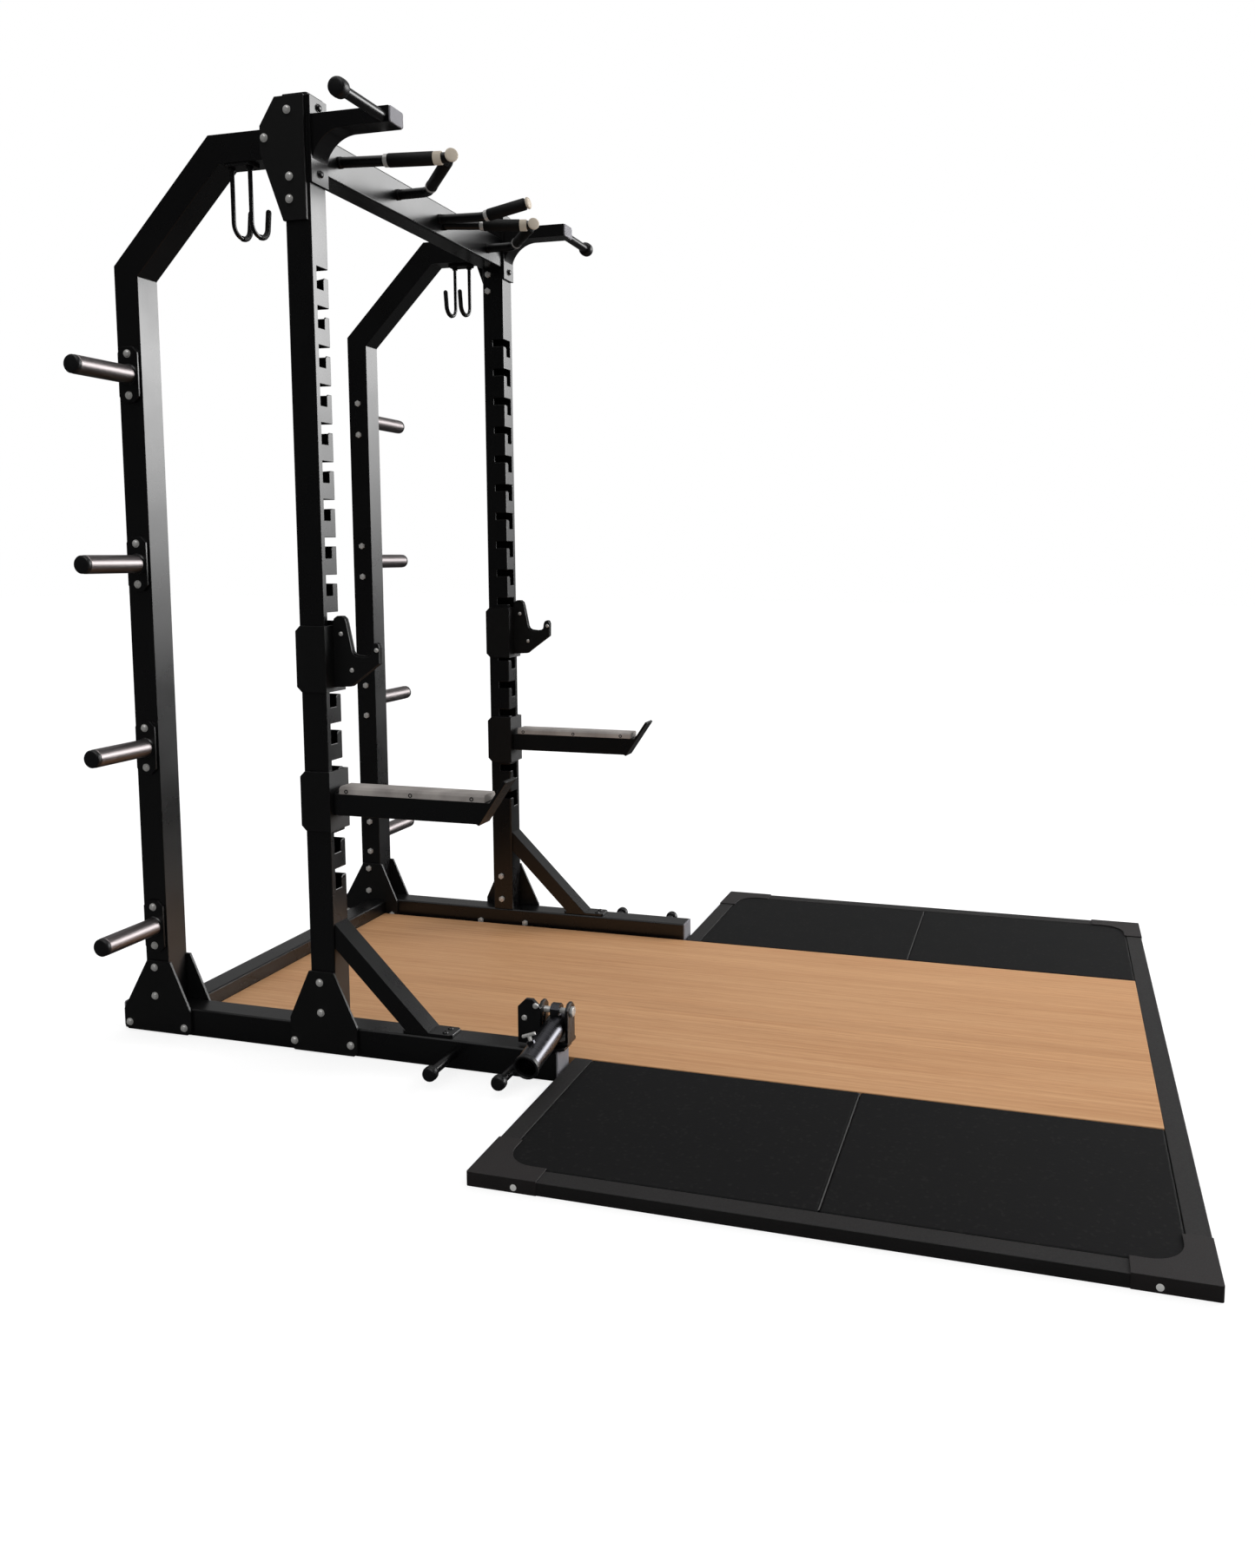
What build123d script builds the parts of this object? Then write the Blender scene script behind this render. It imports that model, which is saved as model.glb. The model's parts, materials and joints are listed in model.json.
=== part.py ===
from build123d import *
from math import cos, pi, radians, sin, tan
import os

# Half rack with a lifting platform. Millimetres, Z up, X across, the lifter stands at -Y.
# Frame tube
tube = 75
wall = 4
corner = 4
plate = 8
outer_x = 600
tube_x = outer_x - tube / 2
inner_x = outer_x - tube
seat_x = inner_x - plate

# Side frames
beam_height = 80
beam_front = 100
beam_rear = 1445
front_y = 750
rear_y = 1290
upright_top = 2538
bend_z = 2148
top_tube_z = 2462
cap = 5
brace_top, brace_foot = 366, 479
brace_width, brace_depth, brace_foot_length = 60, 70, 150

# Notches in the front uprights
notch_pitch = 100
notch_top = 2103
notch_count = 17
slot_height = 24
slot_outer = outer_x - 20
drop_width = 29
drop_depth = 32
corner_cut = 40
tooth_cut = 6

# Catches and safety arms ride in the notches
gap = 0.5
lug_gap = 0.3
lug_height = 20
wrap_depth = 90
wrap_cut = 14
catch_notch = 1103
catch_low, catch_high = 1002, 1180
hook_half, liner = 9, 4
arm_notch = 703
arm_low, arm_high = 624, 787
arm_width = 65
arm_bottom, arm_top = 669, 727
arm_end_low, arm_end_tip = 318, 238
arm_tip_z = 788
strip, strip_cut = 21, 6
strip_rear, strip_front = 722, 293

# Platform
deck_height = 30
deck_front = -1450
deck_rear = 88
deck_half = 1130
wood_half = 506
rail_width = 50
cover = 3
cover_leg = 165
cover_round = 70

# Cross pieces and pull-up handles
rear_cross_y, rear_cross_width, rear_cross_height = 1265, 75, 75
top_cross_low, top_cross_high = 2355, 2455
top_arm_low, top_arm_high = 2450, 2490
top_arm_z = (top_arm_low + top_arm_high) / 2
top_arm_tip = 521
web_low, web_reach = 2380, 650
web_bow = (707, 2431)
flange_low, flange_high = 2320, 2536
left_handle_z, right_handle_z = 2410, 2395
bar_r = 14
bar_sides = 12
grip_r = 18
left_plan = [(-457, 746), (-417, 447), (-160, 746), (-161, 653)]
right_plan = [(118, 746), (192, 486), (415, 746), (414, 653)]
handle_bend, past_end = 45, 1.06
centre_x, centre_bend = 88, 120
centre_run = [(746, 2405), (605, 2402), (455, 2431)]
flange_r = 15.5

# Plate horns, band pegs and accessory hooks
horn_r = 25
horn_end = 809
horn_cap = 12
horn_cap_r = 24.4
cap_sides = 12
horn_plate_width, horn_plate_height, horn_plate_cut = 64, 150, 16
horn_low, horn_pitch, horn_count = 315, 514, 4
hook_rod, hook_sides = 5, 6
hook_tip = 42
hook_bend, hook_bend_steps = 32, 6
hook_low = 2208
hook_ys = {"left": (939, 994), "right": (903, 958)}
hanger_shift, shank_shift = 12, 18
hanger_width, hanger_length = 46, 85

# Pivoting bar sleeve on the left beam
pivot_x, pivot_y, pivot_z = -545, 120, 172
king_x = -543
sleeve_r, sleeve_bore = 31, 26
ring_sides = 24
sleeve_drop = 40
sleeve_tilt = 10
sleeve_back, sleeve_out = 30, 188
ear_gap = 33
pin_r = 8

sides = {"left": -1, "right": 1}
os.makedirs("parts", exist_ok=True)


def side_plane(x):
    return Plane(origin=(x, 0, 0), x_dir=(0, 1, 0), z_dir=(1, 0, 0))


def front_plane(y):
    return Plane(origin=(0, y, 0), x_dir=(1, 0, 0), z_dir=(0, -1, 0))


def save(builder, name):
    builder.part.label = name
    export_step(builder.part, f"parts/{name}.step")


def tube_along(plane, width, height, length):
    with BuildPart() as piece:
        with BuildSketch(plane) as section:
            Rectangle(width, height)
            chamfer(section.vertices(), length=corner)
            Rectangle(width - 2 * wall, height - 2 * wall, mode=Mode.SUBTRACT)
        extrude(amount=length)
    return piece


def cut_corner_plate(places, width, height, cut):
    """Flat outlines with cut corners at the given places of the sketch in hand."""
    with BuildSketch() as outline:
        Rectangle(width, height)
        chamfer(outline.vertices(), length=cut)
    with Locations(*places):
        add(outline.sketch)


def box_section(outline, x, width):
    """A closed box of sheet steel: a side outline in Y and Z, hollow inside."""
    with BuildPart() as piece:
        with BuildSketch(side_plane(x - width / 2)):
            Polygon(*outline, align=None)
        extrude(amount=width)
        with BuildSketch(side_plane(x - width / 2 + wall)):
            Polygon(*outline, align=None)
            offset(amount=-wall, mode=Mode.REPLACE)
        extrude(amount=width - 2 * wall, mode=Mode.SUBTRACT)
    return piece


def plates(outline, s, places):
    """Flat plates on the faces of the tubes, each growing outwards from its place in X."""
    with BuildPart() as joined:
        for x in places:
            with BuildSketch(side_plane(s * x)):
                Polygon(*outline, align=None)
            extrude(amount=s * plate)
    return joined


def notch_outline(s):
    slot_width = slot_outer - inner_x + 2
    with BuildSketch() as notch:
        with Locations((s * (slot_outer - slot_width / 2), 0)):
            Rectangle(slot_width, slot_height)
        with Locations((s * (slot_outer - drop_width / 2), -slot_height / 2 - drop_depth / 2)):
            Rectangle(drop_width, drop_depth)
        tooth = notch.vertices().sort_by_distance((s * (slot_outer - drop_width), -slot_height / 2))[0]
        chamfer(tooth, length=tooth_cut)
    return notch.sketch


def front_upright(s):
    heights = [(0, notch_top - notch_pitch * k) for k in range(notch_count)]
    notch = notch_outline(s)
    with BuildPart() as upright:
        centre = (s * tube_x, front_y + tube / 2, beam_height)
        add(tube_along(Plane(origin=centre), tube, tube, upright_top - beam_height).part)
        with BuildSketch(front_plane(front_y)):
            with Locations(*heights):
                add(notch)
        extrude(amount=-(wall + 1), mode=Mode.SUBTRACT)
        with BuildSketch(front_plane(front_y)):
            with Locations(*[(s * inner_x, z) for _, z in heights]):
                Rectangle(2 * wall + 2, slot_height)
        extrude(amount=-corner_cut, mode=Mode.SUBTRACT)
    return upright


def rear_frame(s):
    fold = tube * tan(radians(22.5))
    top_bend = rear_y + tube - (top_tube_z - bend_z)
    outline = [
        (rear_y, beam_height),
        (rear_y + tube, beam_height),
        (rear_y + tube, bend_z),
        (top_bend, top_tube_z),
        (front_y + tube, top_tube_z),
        (front_y + tube, top_tube_z - tube),
        (top_bend - fold, top_tube_z - tube),
        (rear_y, bend_z - fold),
    ]
    return box_section(outline, s * tube_x, tube)


def top_arm(s):
    flange_front = front_y - plate
    with BuildPart() as arm:
        with BuildSketch(side_plane(s * tube_x - arm_width / 2)):
            with BuildLine():
                Polyline(
                    (web_reach, top_arm_low),
                    (top_arm_tip, top_arm_low),
                    (top_arm_tip, top_arm_high),
                    (flange_front, top_arm_high),
                    (flange_front, web_low),
                )
                ThreePointArc((flange_front, web_low), web_bow, (web_reach, top_arm_low))
            make_face()
        extrude(amount=arm_width)
        with BuildSketch(front_plane(top_arm_tip)):
            with Locations((s * tube_x, top_arm_z)):
                Rectangle(arm_width - 2 * wall, top_arm_high - top_arm_low - 2 * wall)
        extrude(amount=top_arm_tip - flange_front, mode=Mode.SUBTRACT)
        with BuildSketch(front_plane(flange_front)):
            with Locations((s * tube_x, (flange_low + flange_high) / 2)):
                Rectangle(tube, flange_high - flange_low)
        extrude(amount=-plate)
    return arm


def brace(s):
    low = beam_height + plate
    reach = front_y - (brace_top - low)
    outline = [
        (front_y, brace_top),
        (front_y, brace_top - brace_depth),
        (reach + brace_depth, low),
        (reach, low),
    ]
    with BuildPart() as piece:
        add(box_section(outline, s * tube_x, brace_width).part)
        with BuildSketch(Plane.XY.offset(beam_height)):
            cut_corner_plate([(s * tube_x, brace_foot)], brace_width, brace_foot_length, plate)
        extrude(amount=plate)
    return piece


def wrap_bracket(s, low, high, seats):
    """U of plate round the upright, with hooked lugs that drop into the notches."""
    front = front_y - gap - plate
    half = tube / 2 + gap
    with BuildPart() as bracket:
        with BuildSketch(Plane.XY.offset(low)):
            with Locations((s * tube_x, front + wrap_depth / 2)):
                Rectangle(2 * half + 2 * plate, wrap_depth)
            with Locations((s * tube_x, front + plate + wrap_depth / 2)):
                Rectangle(2 * half, wrap_depth, mode=Mode.SUBTRACT)
        extrude(amount=high - low)
        rear = bracket.edges().filter_by(Axis.X).group_by(Axis.Y)[-1]
        chamfer(rear, length=wrap_cut)
        neck_low, neck_high = slot_outer - drop_width + 1, slot_outer - 1
        hook_low_x = inner_x + wall + 2
        for seat in seats:
            base = seat - slot_height / 2 - drop_depth + lug_gap + lug_height / 2
            with BuildSketch(front_plane(front_y - gap)):
                with Locations((s * (neck_low + neck_high) / 2, base)):
                    Rectangle(neck_high - neck_low, lug_height)
            extrude(amount=-(gap + wall + 1))
            with BuildSketch(front_plane(front_y + wall + 1)):
                with Locations((s * (hook_low_x + neck_high) / 2, base)):
                    Rectangle(neck_high - hook_low_x, lug_height)
            extrude(amount=-plate)
    return bracket


def catch_outline(x, thickness, raise_by):
    """Side outline of the hook: tall round back, shallow saddle and a short lip."""
    back = front_y - gap - plate
    top = [(back, 1186), (737, 1199), (727, 1206), (713, 1206), (704, 1199), (700, 1186)]
    saddle = [(685, 1112), (680, 1103), (671, 1098), (650, 1096), (635, 1098), (628, 1104)]
    lip = [(625, 1124), (620, 1133), (612, 1136), (606, 1133), (603, 1124), (604, 1080)]
    under = [(672, 1031), (690, 1017), (back, 1014)]
    lined = [(y, z + raise_by) for y, z in saddle]
    with BuildPart() as piece:
        with BuildSketch(side_plane(x)):
            Polygon(*top, *lined, *lip, *under, align=None)
        extrude(amount=thickness)
    return piece


def safety_arm(s):
    front = front_y - gap - plate
    rise = (arm_tip_z - arm_bottom) / (arm_end_low - arm_end_tip)
    top_end = arm_end_low - (arm_top - arm_bottom) / rise
    run = ((arm_tip_z - arm_bottom) ** 2 + (arm_end_low - arm_end_tip) ** 2) ** 0.5
    step_y = -plate * (arm_tip_z - arm_bottom) / run
    step_z = -plate * (arm_end_low - arm_end_tip) / run
    outline = [(front, arm_bottom), (front, arm_top), (top_end, arm_top), (arm_end_low, arm_bottom)]
    with BuildPart() as arm:
        add(box_section(outline, s * tube_x, arm_width).part)
        with BuildSketch(side_plane(s * tube_x - arm_width / 2)):
            Polygon(
                (arm_end_low, arm_bottom),
                (arm_end_tip, arm_tip_z),
                (arm_end_tip + step_y, arm_tip_z + step_z),
                (arm_end_low + step_y, arm_bottom + step_z),
                align=None,
            )
        extrude(amount=arm_width)
    return arm


def pull_up_handle(plan, z):
    """A straight bar met by a bent one; plan gives their roots, the knee and the meeting point."""
    root_a, end_a, root_b, knee = [Vector(x, y, z) for x, y in plan]
    tip = knee + (end_a - knee) * past_end
    with BuildPart() as handle:
        with BuildSketch(Plane(origin=root_a, z_dir=end_a - root_a)):
            RegularPolygon(bar_r, bar_sides)
        extrude(amount=(end_a - root_a).length)
        with BuildLine() as bent:
            FilletPolyline(root_b, knee, tip, radius=handle_bend)
        with BuildSketch(Plane(origin=bent.line @ 0, z_dir=bent.line % 0)):
            RegularPolygon(bar_r, bar_sides)
        sweep(path=bent.line)
        with BuildSketch(front_plane(front_y)):
            with Locations((root_a.X, z), (root_b.X, z)):
                RegularPolygon(flange_r, bar_sides)
        extrude(amount=plate)
    grip_a = (root_a, end_a, 0.44, 0.86)
    grip_b = (knee, tip, 0.18, 0.84)
    return handle, [grip_a, grip_b], (knee, tip)


def centre_grip():
    root, bend, tip = [Vector(centre_x, y, z) for y, z in centre_run]
    with BuildPart() as handle:
        with BuildLine() as bent:
            FilletPolyline(root, bend, tip, radius=centre_bend)
        with BuildSketch(Plane(origin=bent.line @ 0, z_dir=bent.line % 0)):
            RegularPolygon(bar_r, bar_sides)
        sweep(path=bent.line)
        with BuildSketch(front_plane(front_y)):
            with Locations((root.X, root.Z)):
                RegularPolygon(flange_r, bar_sides)
        extrude(amount=plate)
    return handle, [(bend, tip, 0.14, 0.96)], (bend, tip)


rear_gusset = [(1280, 212), (1358, 212), (1443, 62), (1443, 14), (1431, 3), (1230, 3), (1217, 14), (1217, 70)]
front_gusset = [(750, 232), (826, 232), (889, 95), (889, 14), (878, 3), (692, 3), (681, 14), (681, 85)]
rear_bolts = [(1332, 194), (1334, 110), (1240, 24), (1425, 24)]
front_bolts = [(792, 202), (791, 117), (877, 30), (701, 34)]
top_bolts = [(804, 2501), (874, 2437), (803, 2336), (805, 2280)]
top_plate = [(756, 2536), (841, 2536), (887, 2468), (887, 2398), (825, 2226), (756, 2226)]

for side, s in sides.items():
    beam_plane = Plane(origin=(s * tube_x, beam_front, beam_height / 2), x_dir=(1, 0, 0), z_dir=(0, 1, 0))
    save(tube_along(beam_plane, tube, beam_height, beam_rear - beam_front), f"{side}_base_beam")
    save(front_upright(s), f"{side}_front_upright")
    save(rear_frame(s), f"{side}_rear_frame")
    save(plates(rear_gusset, s, (outer_x, seat_x)), f"{side}_rear_gussets")
    save(plates(front_gusset, s, (outer_x,)), f"{side}_front_gussets")
    save(plates(top_plate, s, (outer_x,)), f"{side}_top_plates")
    save(brace(s), f"{side}_brace")
    save(top_arm(s), f"{side}_top_arm")

    catch_seats = (catch_notch, catch_notch + notch_pitch)
    save(wrap_bracket(s, catch_low, catch_high, catch_seats), f"{side}_catch_bracket")
    inner_cheek, outer_cheek = tube_x - hook_half, tube_x + hook_half - wall
    with BuildPart() as cheeks:
        for x in (inner_cheek, outer_cheek):
            add(catch_outline(min(s * x, s * (x + wall)), wall, 0).part)
    save(cheeks, f"{side}_catch_hook")
    pad_low = inner_cheek + wall
    pad_width = outer_cheek - pad_low
    save(catch_outline(min(s * pad_low, s * outer_cheek), pad_width, liner), f"{side}_catch_pad")

    save(wrap_bracket(s, arm_low, arm_high, (arm_notch, arm_notch + notch_pitch)), f"{side}_arm_bracket")
    save(safety_arm(s), f"{side}_safety_arm")
    with BuildPart() as wear_strip:
        with BuildSketch(Plane.XY.offset(arm_top)):
            with Locations((s * tube_x, (strip_front + strip_rear) / 2)):
                Rectangle(arm_width, strip_rear - strip_front)
        extrude(amount=strip)
        ridge = wear_strip.faces().sort_by(Axis.Z)[-1].edges()
        chamfer(ridge.filter_by(Axis.Y), length=strip_cut)
    save(wear_strip, f"{side}_wear_strip")

    horn_zs = [horn_low + horn_pitch * k for k in range(horn_count)]
    horn_y = rear_y + tube / 2
    with BuildPart() as horns:
        with BuildSketch(side_plane(s * outer_x)):
            places = [(horn_y, z) for z in horn_zs]
            cut_corner_plate(places, horn_plate_width, horn_plate_height, horn_plate_cut)
        extrude(amount=s * plate)
        with BuildSketch(side_plane(s * (outer_x + plate))):
            with Locations(*[(horn_y, z) for z in horn_zs]):
                Circle(horn_r)
        extrude(amount=s * (horn_end - horn_cap - outer_x - plate))
    save(horns, f"{side}_plate_horns")

# Closing caps of the tubes
with BuildPart() as beam_caps:
    for y in (beam_front, beam_rear + cap):
        with BuildSketch(front_plane(y)):
            mid_z = beam_height / 2
            cut_corner_plate([(tube_x, mid_z), (-tube_x, mid_z)], tube, beam_height, corner)
        extrude(amount=cap)
save(beam_caps, "beam_end_caps")

with BuildPart() as upright_caps:
    with BuildSketch(Plane.XY.offset(upright_top)):
        mid_y = front_y + tube / 2
        cut_corner_plate([(tube_x, mid_y), (-tube_x, mid_y)], tube, tube, corner)
    extrude(amount=cap)
save(upright_caps, "upright_caps")

with BuildPart() as arm_caps:
    with BuildSketch(front_plane(top_arm_tip)):
        top_arm_height = top_arm_high - top_arm_low
        cut_corner_plate([(tube_x, top_arm_z), (-tube_x, top_arm_z)], arm_width, top_arm_height, corner)
    extrude(amount=cap)
save(arm_caps, "top_arm_caps")

with BuildPart() as horn_caps:
    for s in sides.values():
        with BuildSketch(side_plane(s * (horn_end - horn_cap))):
            with Locations(*[(rear_y + tube / 2, horn_low + horn_pitch * k) for k in range(horn_count)]):
                RegularPolygon(horn_cap_r, cap_sides)
        extrude(amount=s * horn_cap)
    ends = horn_caps.edges().group_by(Axis.X)
    chamfer(ends[0] + ends[-1], length=4)
save(horn_caps, "horn_caps")

# Cross pieces between the side frames
rear_cross_plane = Plane(
    origin=(-seat_x, rear_cross_y + rear_cross_width / 2, rear_cross_height / 2), z_dir=(1, 0, 0))
save(tube_along(rear_cross_plane, rear_cross_width, rear_cross_height, 2 * seat_x), "rear_crossmember")

top_cross_plane = Plane(
    origin=(-inner_x, front_y + tube / 2, (top_cross_low + top_cross_high) / 2),
    x_dir=(0, 1, 0),
    z_dir=(1, 0, 0),
)
save(tube_along(top_cross_plane, tube, top_cross_high - top_cross_low, 2 * inner_x), "top_crossmember")

# Pull-up handles with rubber grips, bright collars and end discs
left_handle, left_grips, left_end = pull_up_handle(left_plan, left_handle_z)
right_handle, right_grips, right_end = pull_up_handle(right_plan, right_handle_z)
centre_handle, centre_grips, centre_end = centre_grip()
save(left_handle, "left_pull_up_handle")
save(right_handle, "right_pull_up_handle")
save(centre_handle, "centre_pull_up_grip")
bore_r = (bar_r + 0.1) / cos(pi / bar_sides)
collar = 12
with BuildPart() as grips:
    for start, end, first, last in left_grips + right_grips + centre_grips:
        way = end - start
        with BuildSketch(Plane(origin=start + way * first, z_dir=way)):
            RegularPolygon(grip_r, bar_sides)
            RegularPolygon(bore_r, bar_sides, mode=Mode.SUBTRACT)
        extrude(amount=way.length * (last - first))
save(grips, "handle_grips")
with BuildPart() as collars:
    for start, end, first, last in left_grips + right_grips + centre_grips:
        way = end - start
        with BuildSketch(Plane(origin=start + way * first, z_dir=-way)):
            RegularPolygon(grip_r - 1, bar_sides)
            RegularPolygon(bore_r, bar_sides, mode=Mode.SUBTRACT)
        extrude(amount=collar)
save(collars, "handle_collars")
with BuildPart() as end_discs:
    for start, end in (left_end, right_end, centre_end):
        with BuildSketch(Plane(origin=end, z_dir=end - start)):
            RegularPolygon(grip_r + 2, bar_sides)
        extrude(amount=plate)
save(end_discs, "handle_end_discs")

# Band pegs with black knobs: two on each beam and one on each top arm
arm_peg_y, arm_peg_drop = 540, 5
base_pegs = [(y, beam_height / 2) for y in (204, 397)]
arm_peg = (arm_peg_y, top_arm_z - arm_peg_drop)
base_peg_r, base_peg_length, base_knob_r, base_knob_length = 12, 108, 20, 26
arm_peg_r, arm_peg_length, arm_knob_r, arm_knob_length = 14, 172, 24, 34
arm_side = tube_x + arm_width / 2
with BuildPart() as pegs:
    for s in sides.values():
        with BuildSketch(side_plane(s * outer_x)):
            with Locations(*base_pegs):
                RegularPolygon(base_peg_r, bar_sides)
        extrude(amount=s * base_peg_length)
        with BuildSketch(side_plane(s * arm_side)):
            with Locations(arm_peg):
                RegularPolygon(arm_peg_r, bar_sides)
        extrude(amount=s * arm_peg_length)
save(pegs, "band_pegs")
with BuildPart() as knobs:
    for s in sides.values():
        with BuildSketch(side_plane(s * (outer_x + base_peg_length))):
            with Locations(*base_pegs):
                RegularPolygon(base_knob_r, bar_sides)
        extrude(amount=s * base_knob_length)
        with BuildSketch(side_plane(s * (arm_side + arm_peg_length))):
            with Locations(arm_peg):
                RegularPolygon(arm_knob_r, bar_sides)
        extrude(amount=s * arm_knob_length)
    rims = knobs.edges().filter_by(Axis.X, reverse=True)
    chamfer(rims, length=7)
save(knobs, "peg_knobs")

# Accessory hooks under the short top tubes
hanger_z = top_tube_z - tube
with BuildPart() as hangers:
    for side, s in sides.items():
        middle = (s * (tube_x + hanger_shift), sum(hook_ys[side]) / 2)
        with BuildSketch(Plane.XY.offset(hanger_z - plate)):
            cut_corner_plate([middle], hanger_width, hanger_length, plate)
        extrude(amount=plate)
save(hangers, "hook_hangers")
bend_turns = [pi * k / hook_bend_steps for k in range(hook_bend_steps + 1)]
with BuildPart() as hooks:
    for side, s in sides.items():
        shank_x = s * (tube_x + shank_shift)
        bend_x = shank_x - s * hook_bend
        bend_z0 = hook_low + hook_bend
        for y in hook_ys[side]:
            run = [(shank_x, y, hanger_z - plate)]
            run += [(bend_x + s * hook_bend * cos(a), y, bend_z0 - hook_bend * sin(a)) for a in bend_turns]
            run += [(bend_x - s * hook_bend, y, bend_z0 + hook_tip)]
            with BuildLine() as wire:
                Polyline(*run)
            with BuildSketch(Plane(origin=run[0], z_dir=(0, 0, -1))):
                RegularPolygon(hook_rod, hook_sides)
            sweep(path=wire.line, transition=Transition.RIGHT)
            with BuildSketch(Plane.XY.offset(hanger_z - plate)):
                with Locations((shank_x, y)):
                    RegularPolygon(2 * hook_rod, hook_sides)
            extrude(amount=-plate)
save(hooks, "accessory_hooks")

# Frame bolts: hexagon heads outside, nuts inside
bolt_r, head = 11, 8
with BuildPart() as bolts:
    for s in sides.values():
        rows = [
            (outer_x + plate, s, rear_bolts + front_bolts + top_bolts),
            (seat_x, -s, rear_bolts),
            (inner_x, -s, front_bolts + top_bolts),
        ]
        for x, out, places in rows:
            with BuildSketch(side_plane(s * x)):
                with Locations(*places):
                    RegularPolygon(bolt_r, 6)
            extrude(amount=out * head)
save(bolts, "frame_bolts")

# Pivoting bar sleeve: base with king pin, turning yoke, pivot pin, sleeve and lock screw
base_top = beam_height + 6
yoke_low, yoke_high = base_top + lug_gap, base_top + 8.6
king_head, king_head_r = 4, 13
base_width, base_length, yoke_width = 66, 76, 68
with BuildPart() as pivot_base:
    with BuildSketch(Plane.XY.offset(beam_height)):
        cut_corner_plate([(2 - tube_x, pivot_y)], base_width, base_length, plate)
    extrude(amount=base_top - beam_height)
    with BuildSketch(Plane.XY.offset(base_top)):
        with Locations((king_x, pivot_y)):
            Circle(pin_r)
    extrude(amount=yoke_high - king_head - base_top)
    with BuildSketch(Plane.XY.offset(yoke_high - king_head)):
        with Locations((king_x, pivot_y)):
            RegularPolygon(king_head_r, cap_sides)
    extrude(amount=king_head)
save(pivot_base, "sleeve_pivot_base")

ear_r = 24
wing_width, wing_top, wing_cut = 64, 206, 22
wing_y = pivot_y + ear_gap + wing_width / 2
with BuildPart() as yoke:
    with BuildSketch(Plane.XY.offset(yoke_low)):
        cut_corner_plate([(king_x, pivot_y)], yoke_width, 2 * (ear_gap + plate), 6)
    extrude(amount=yoke_high - yoke_low)
    for way in (1, -1):
        with BuildSketch(front_plane(pivot_y - way * ear_gap)) as ear:
            with Locations((pivot_x, (yoke_low + pivot_z + ear_r) / 2)):
                Rectangle(2 * ear_r, pivot_z + ear_r - yoke_low)
            chamfer(ear.vertices().group_by(Axis.Y)[-1], length=ear_r * 0.6)
            with Locations((pivot_x, pivot_z)):
                Circle(pin_r + 0.1, mode=Mode.SUBTRACT)
        extrude(amount=way * plate)
    with BuildSketch(side_plane(pivot_x - ear_r - plate)) as wing:
        with Locations((wing_y, (yoke_low + wing_top) / 2)):
            Rectangle(wing_width, wing_top - yoke_low)
        chamfer(wing.vertices().group_by(Axis.Y)[-1], length=wing_cut)
    extrude(amount=plate + wall)
    with BuildSketch(Plane.XY.offset(yoke_low)):
        with Locations((king_x, pivot_y)):
            Circle(pin_r + lug_gap)
    extrude(amount=yoke_high - yoke_low, mode=Mode.SUBTRACT)
    with BuildSketch(Plane.XY.offset(yoke_high)):
        with Locations((king_x, pivot_y)):
            RegularPolygon((king_head_r + lug_gap) / cos(pi / cap_sides), cap_sides)
    extrude(amount=-(king_head + lug_gap), mode=Mode.SUBTRACT)
save(yoke, "sleeve_yoke")

pin_half, pin_head_r = ear_gap + plate, 14
with BuildPart() as pivot_pin:
    with BuildSketch(front_plane(pivot_y + pin_half)):
        with Locations((pivot_x, pivot_z)):
            Circle(pin_r)
    extrude(amount=2 * pin_half)
    for y, way in ((pivot_y + pin_half, -1), (pivot_y - pin_half, 1)):
        with BuildSketch(front_plane(y)):
            with Locations((pivot_x, pivot_z)):
                RegularPolygon(pin_head_r, 6)
        extrude(amount=way * plate)
save(pivot_pin, "sleeve_pivot_pin")

lug_half, lug_r = 12, 18
boss_r, boss_top = 11, 37
screw_r, screw_out, screw_lean = 5, 140, 20
bar_out, bar_r_small, bar_length = 52, 4.5, 38
tilt = radians(sleeve_tilt)
out_way = Vector(-cos(tilt), 0, -sin(tilt))
axis_point = Vector(pivot_x, pivot_y, pivot_z - sleeve_drop)
sleeve_start = axis_point - out_way * sleeve_back
sleeve_end = axis_point + out_way * sleeve_out
screw_at = axis_point + out_way * screw_out
screw_way = Vector(0, sin(radians(screw_lean)), cos(radians(screw_lean)))
screw_plane = Plane(origin=screw_at, z_dir=screw_way)
with BuildPart() as sleeve:
    with BuildSketch(Plane(origin=sleeve_start, z_dir=out_way)):
        Circle(sleeve_r)
    extrude(amount=sleeve_back + sleeve_out)
    with BuildSketch(front_plane(pivot_y + lug_half)) as lug:
        with Locations((pivot_x, pivot_z)):
            Rectangle(2 * lug_r, 2 * lug_r)
        chamfer(lug.vertices().group_by(Axis.Y)[-1], length=lug_r * 0.6)
    extrude(amount=2 * lug_half)
    with BuildSketch(screw_plane):
        RegularPolygon(boss_r, bar_sides)
    extrude(amount=boss_top)
    with BuildSketch(Plane(origin=sleeve_start, z_dir=out_way)):
        Circle(sleeve_bore)
    extrude(amount=sleeve_back + sleeve_out, mode=Mode.SUBTRACT)
    with BuildSketch(screw_plane):
        RegularPolygon((screw_r + lug_gap) / cos(pi / bar_sides), bar_sides)
    extrude(amount=boss_top + 1, mode=Mode.SUBTRACT)
    with BuildSketch(front_plane(pivot_y + lug_half)):
        with Locations((pivot_x, pivot_z)):
            Circle(pin_r + 0.08)
    extrude(amount=2 * lug_half, mode=Mode.SUBTRACT)
save(sleeve, "bar_sleeve")

ring_r, ring_bore, ring_length = sleeve_r + 2, sleeve_bore + 1, 14
with BuildPart() as sleeve_ring:
    with BuildSketch(Plane(origin=sleeve_end, z_dir=out_way)):
        RegularPolygon(ring_r, ring_sides)
        RegularPolygon(ring_bore, ring_sides, mode=Mode.SUBTRACT)
    extrude(amount=ring_length)
save(sleeve_ring, "sleeve_end_ring")

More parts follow.
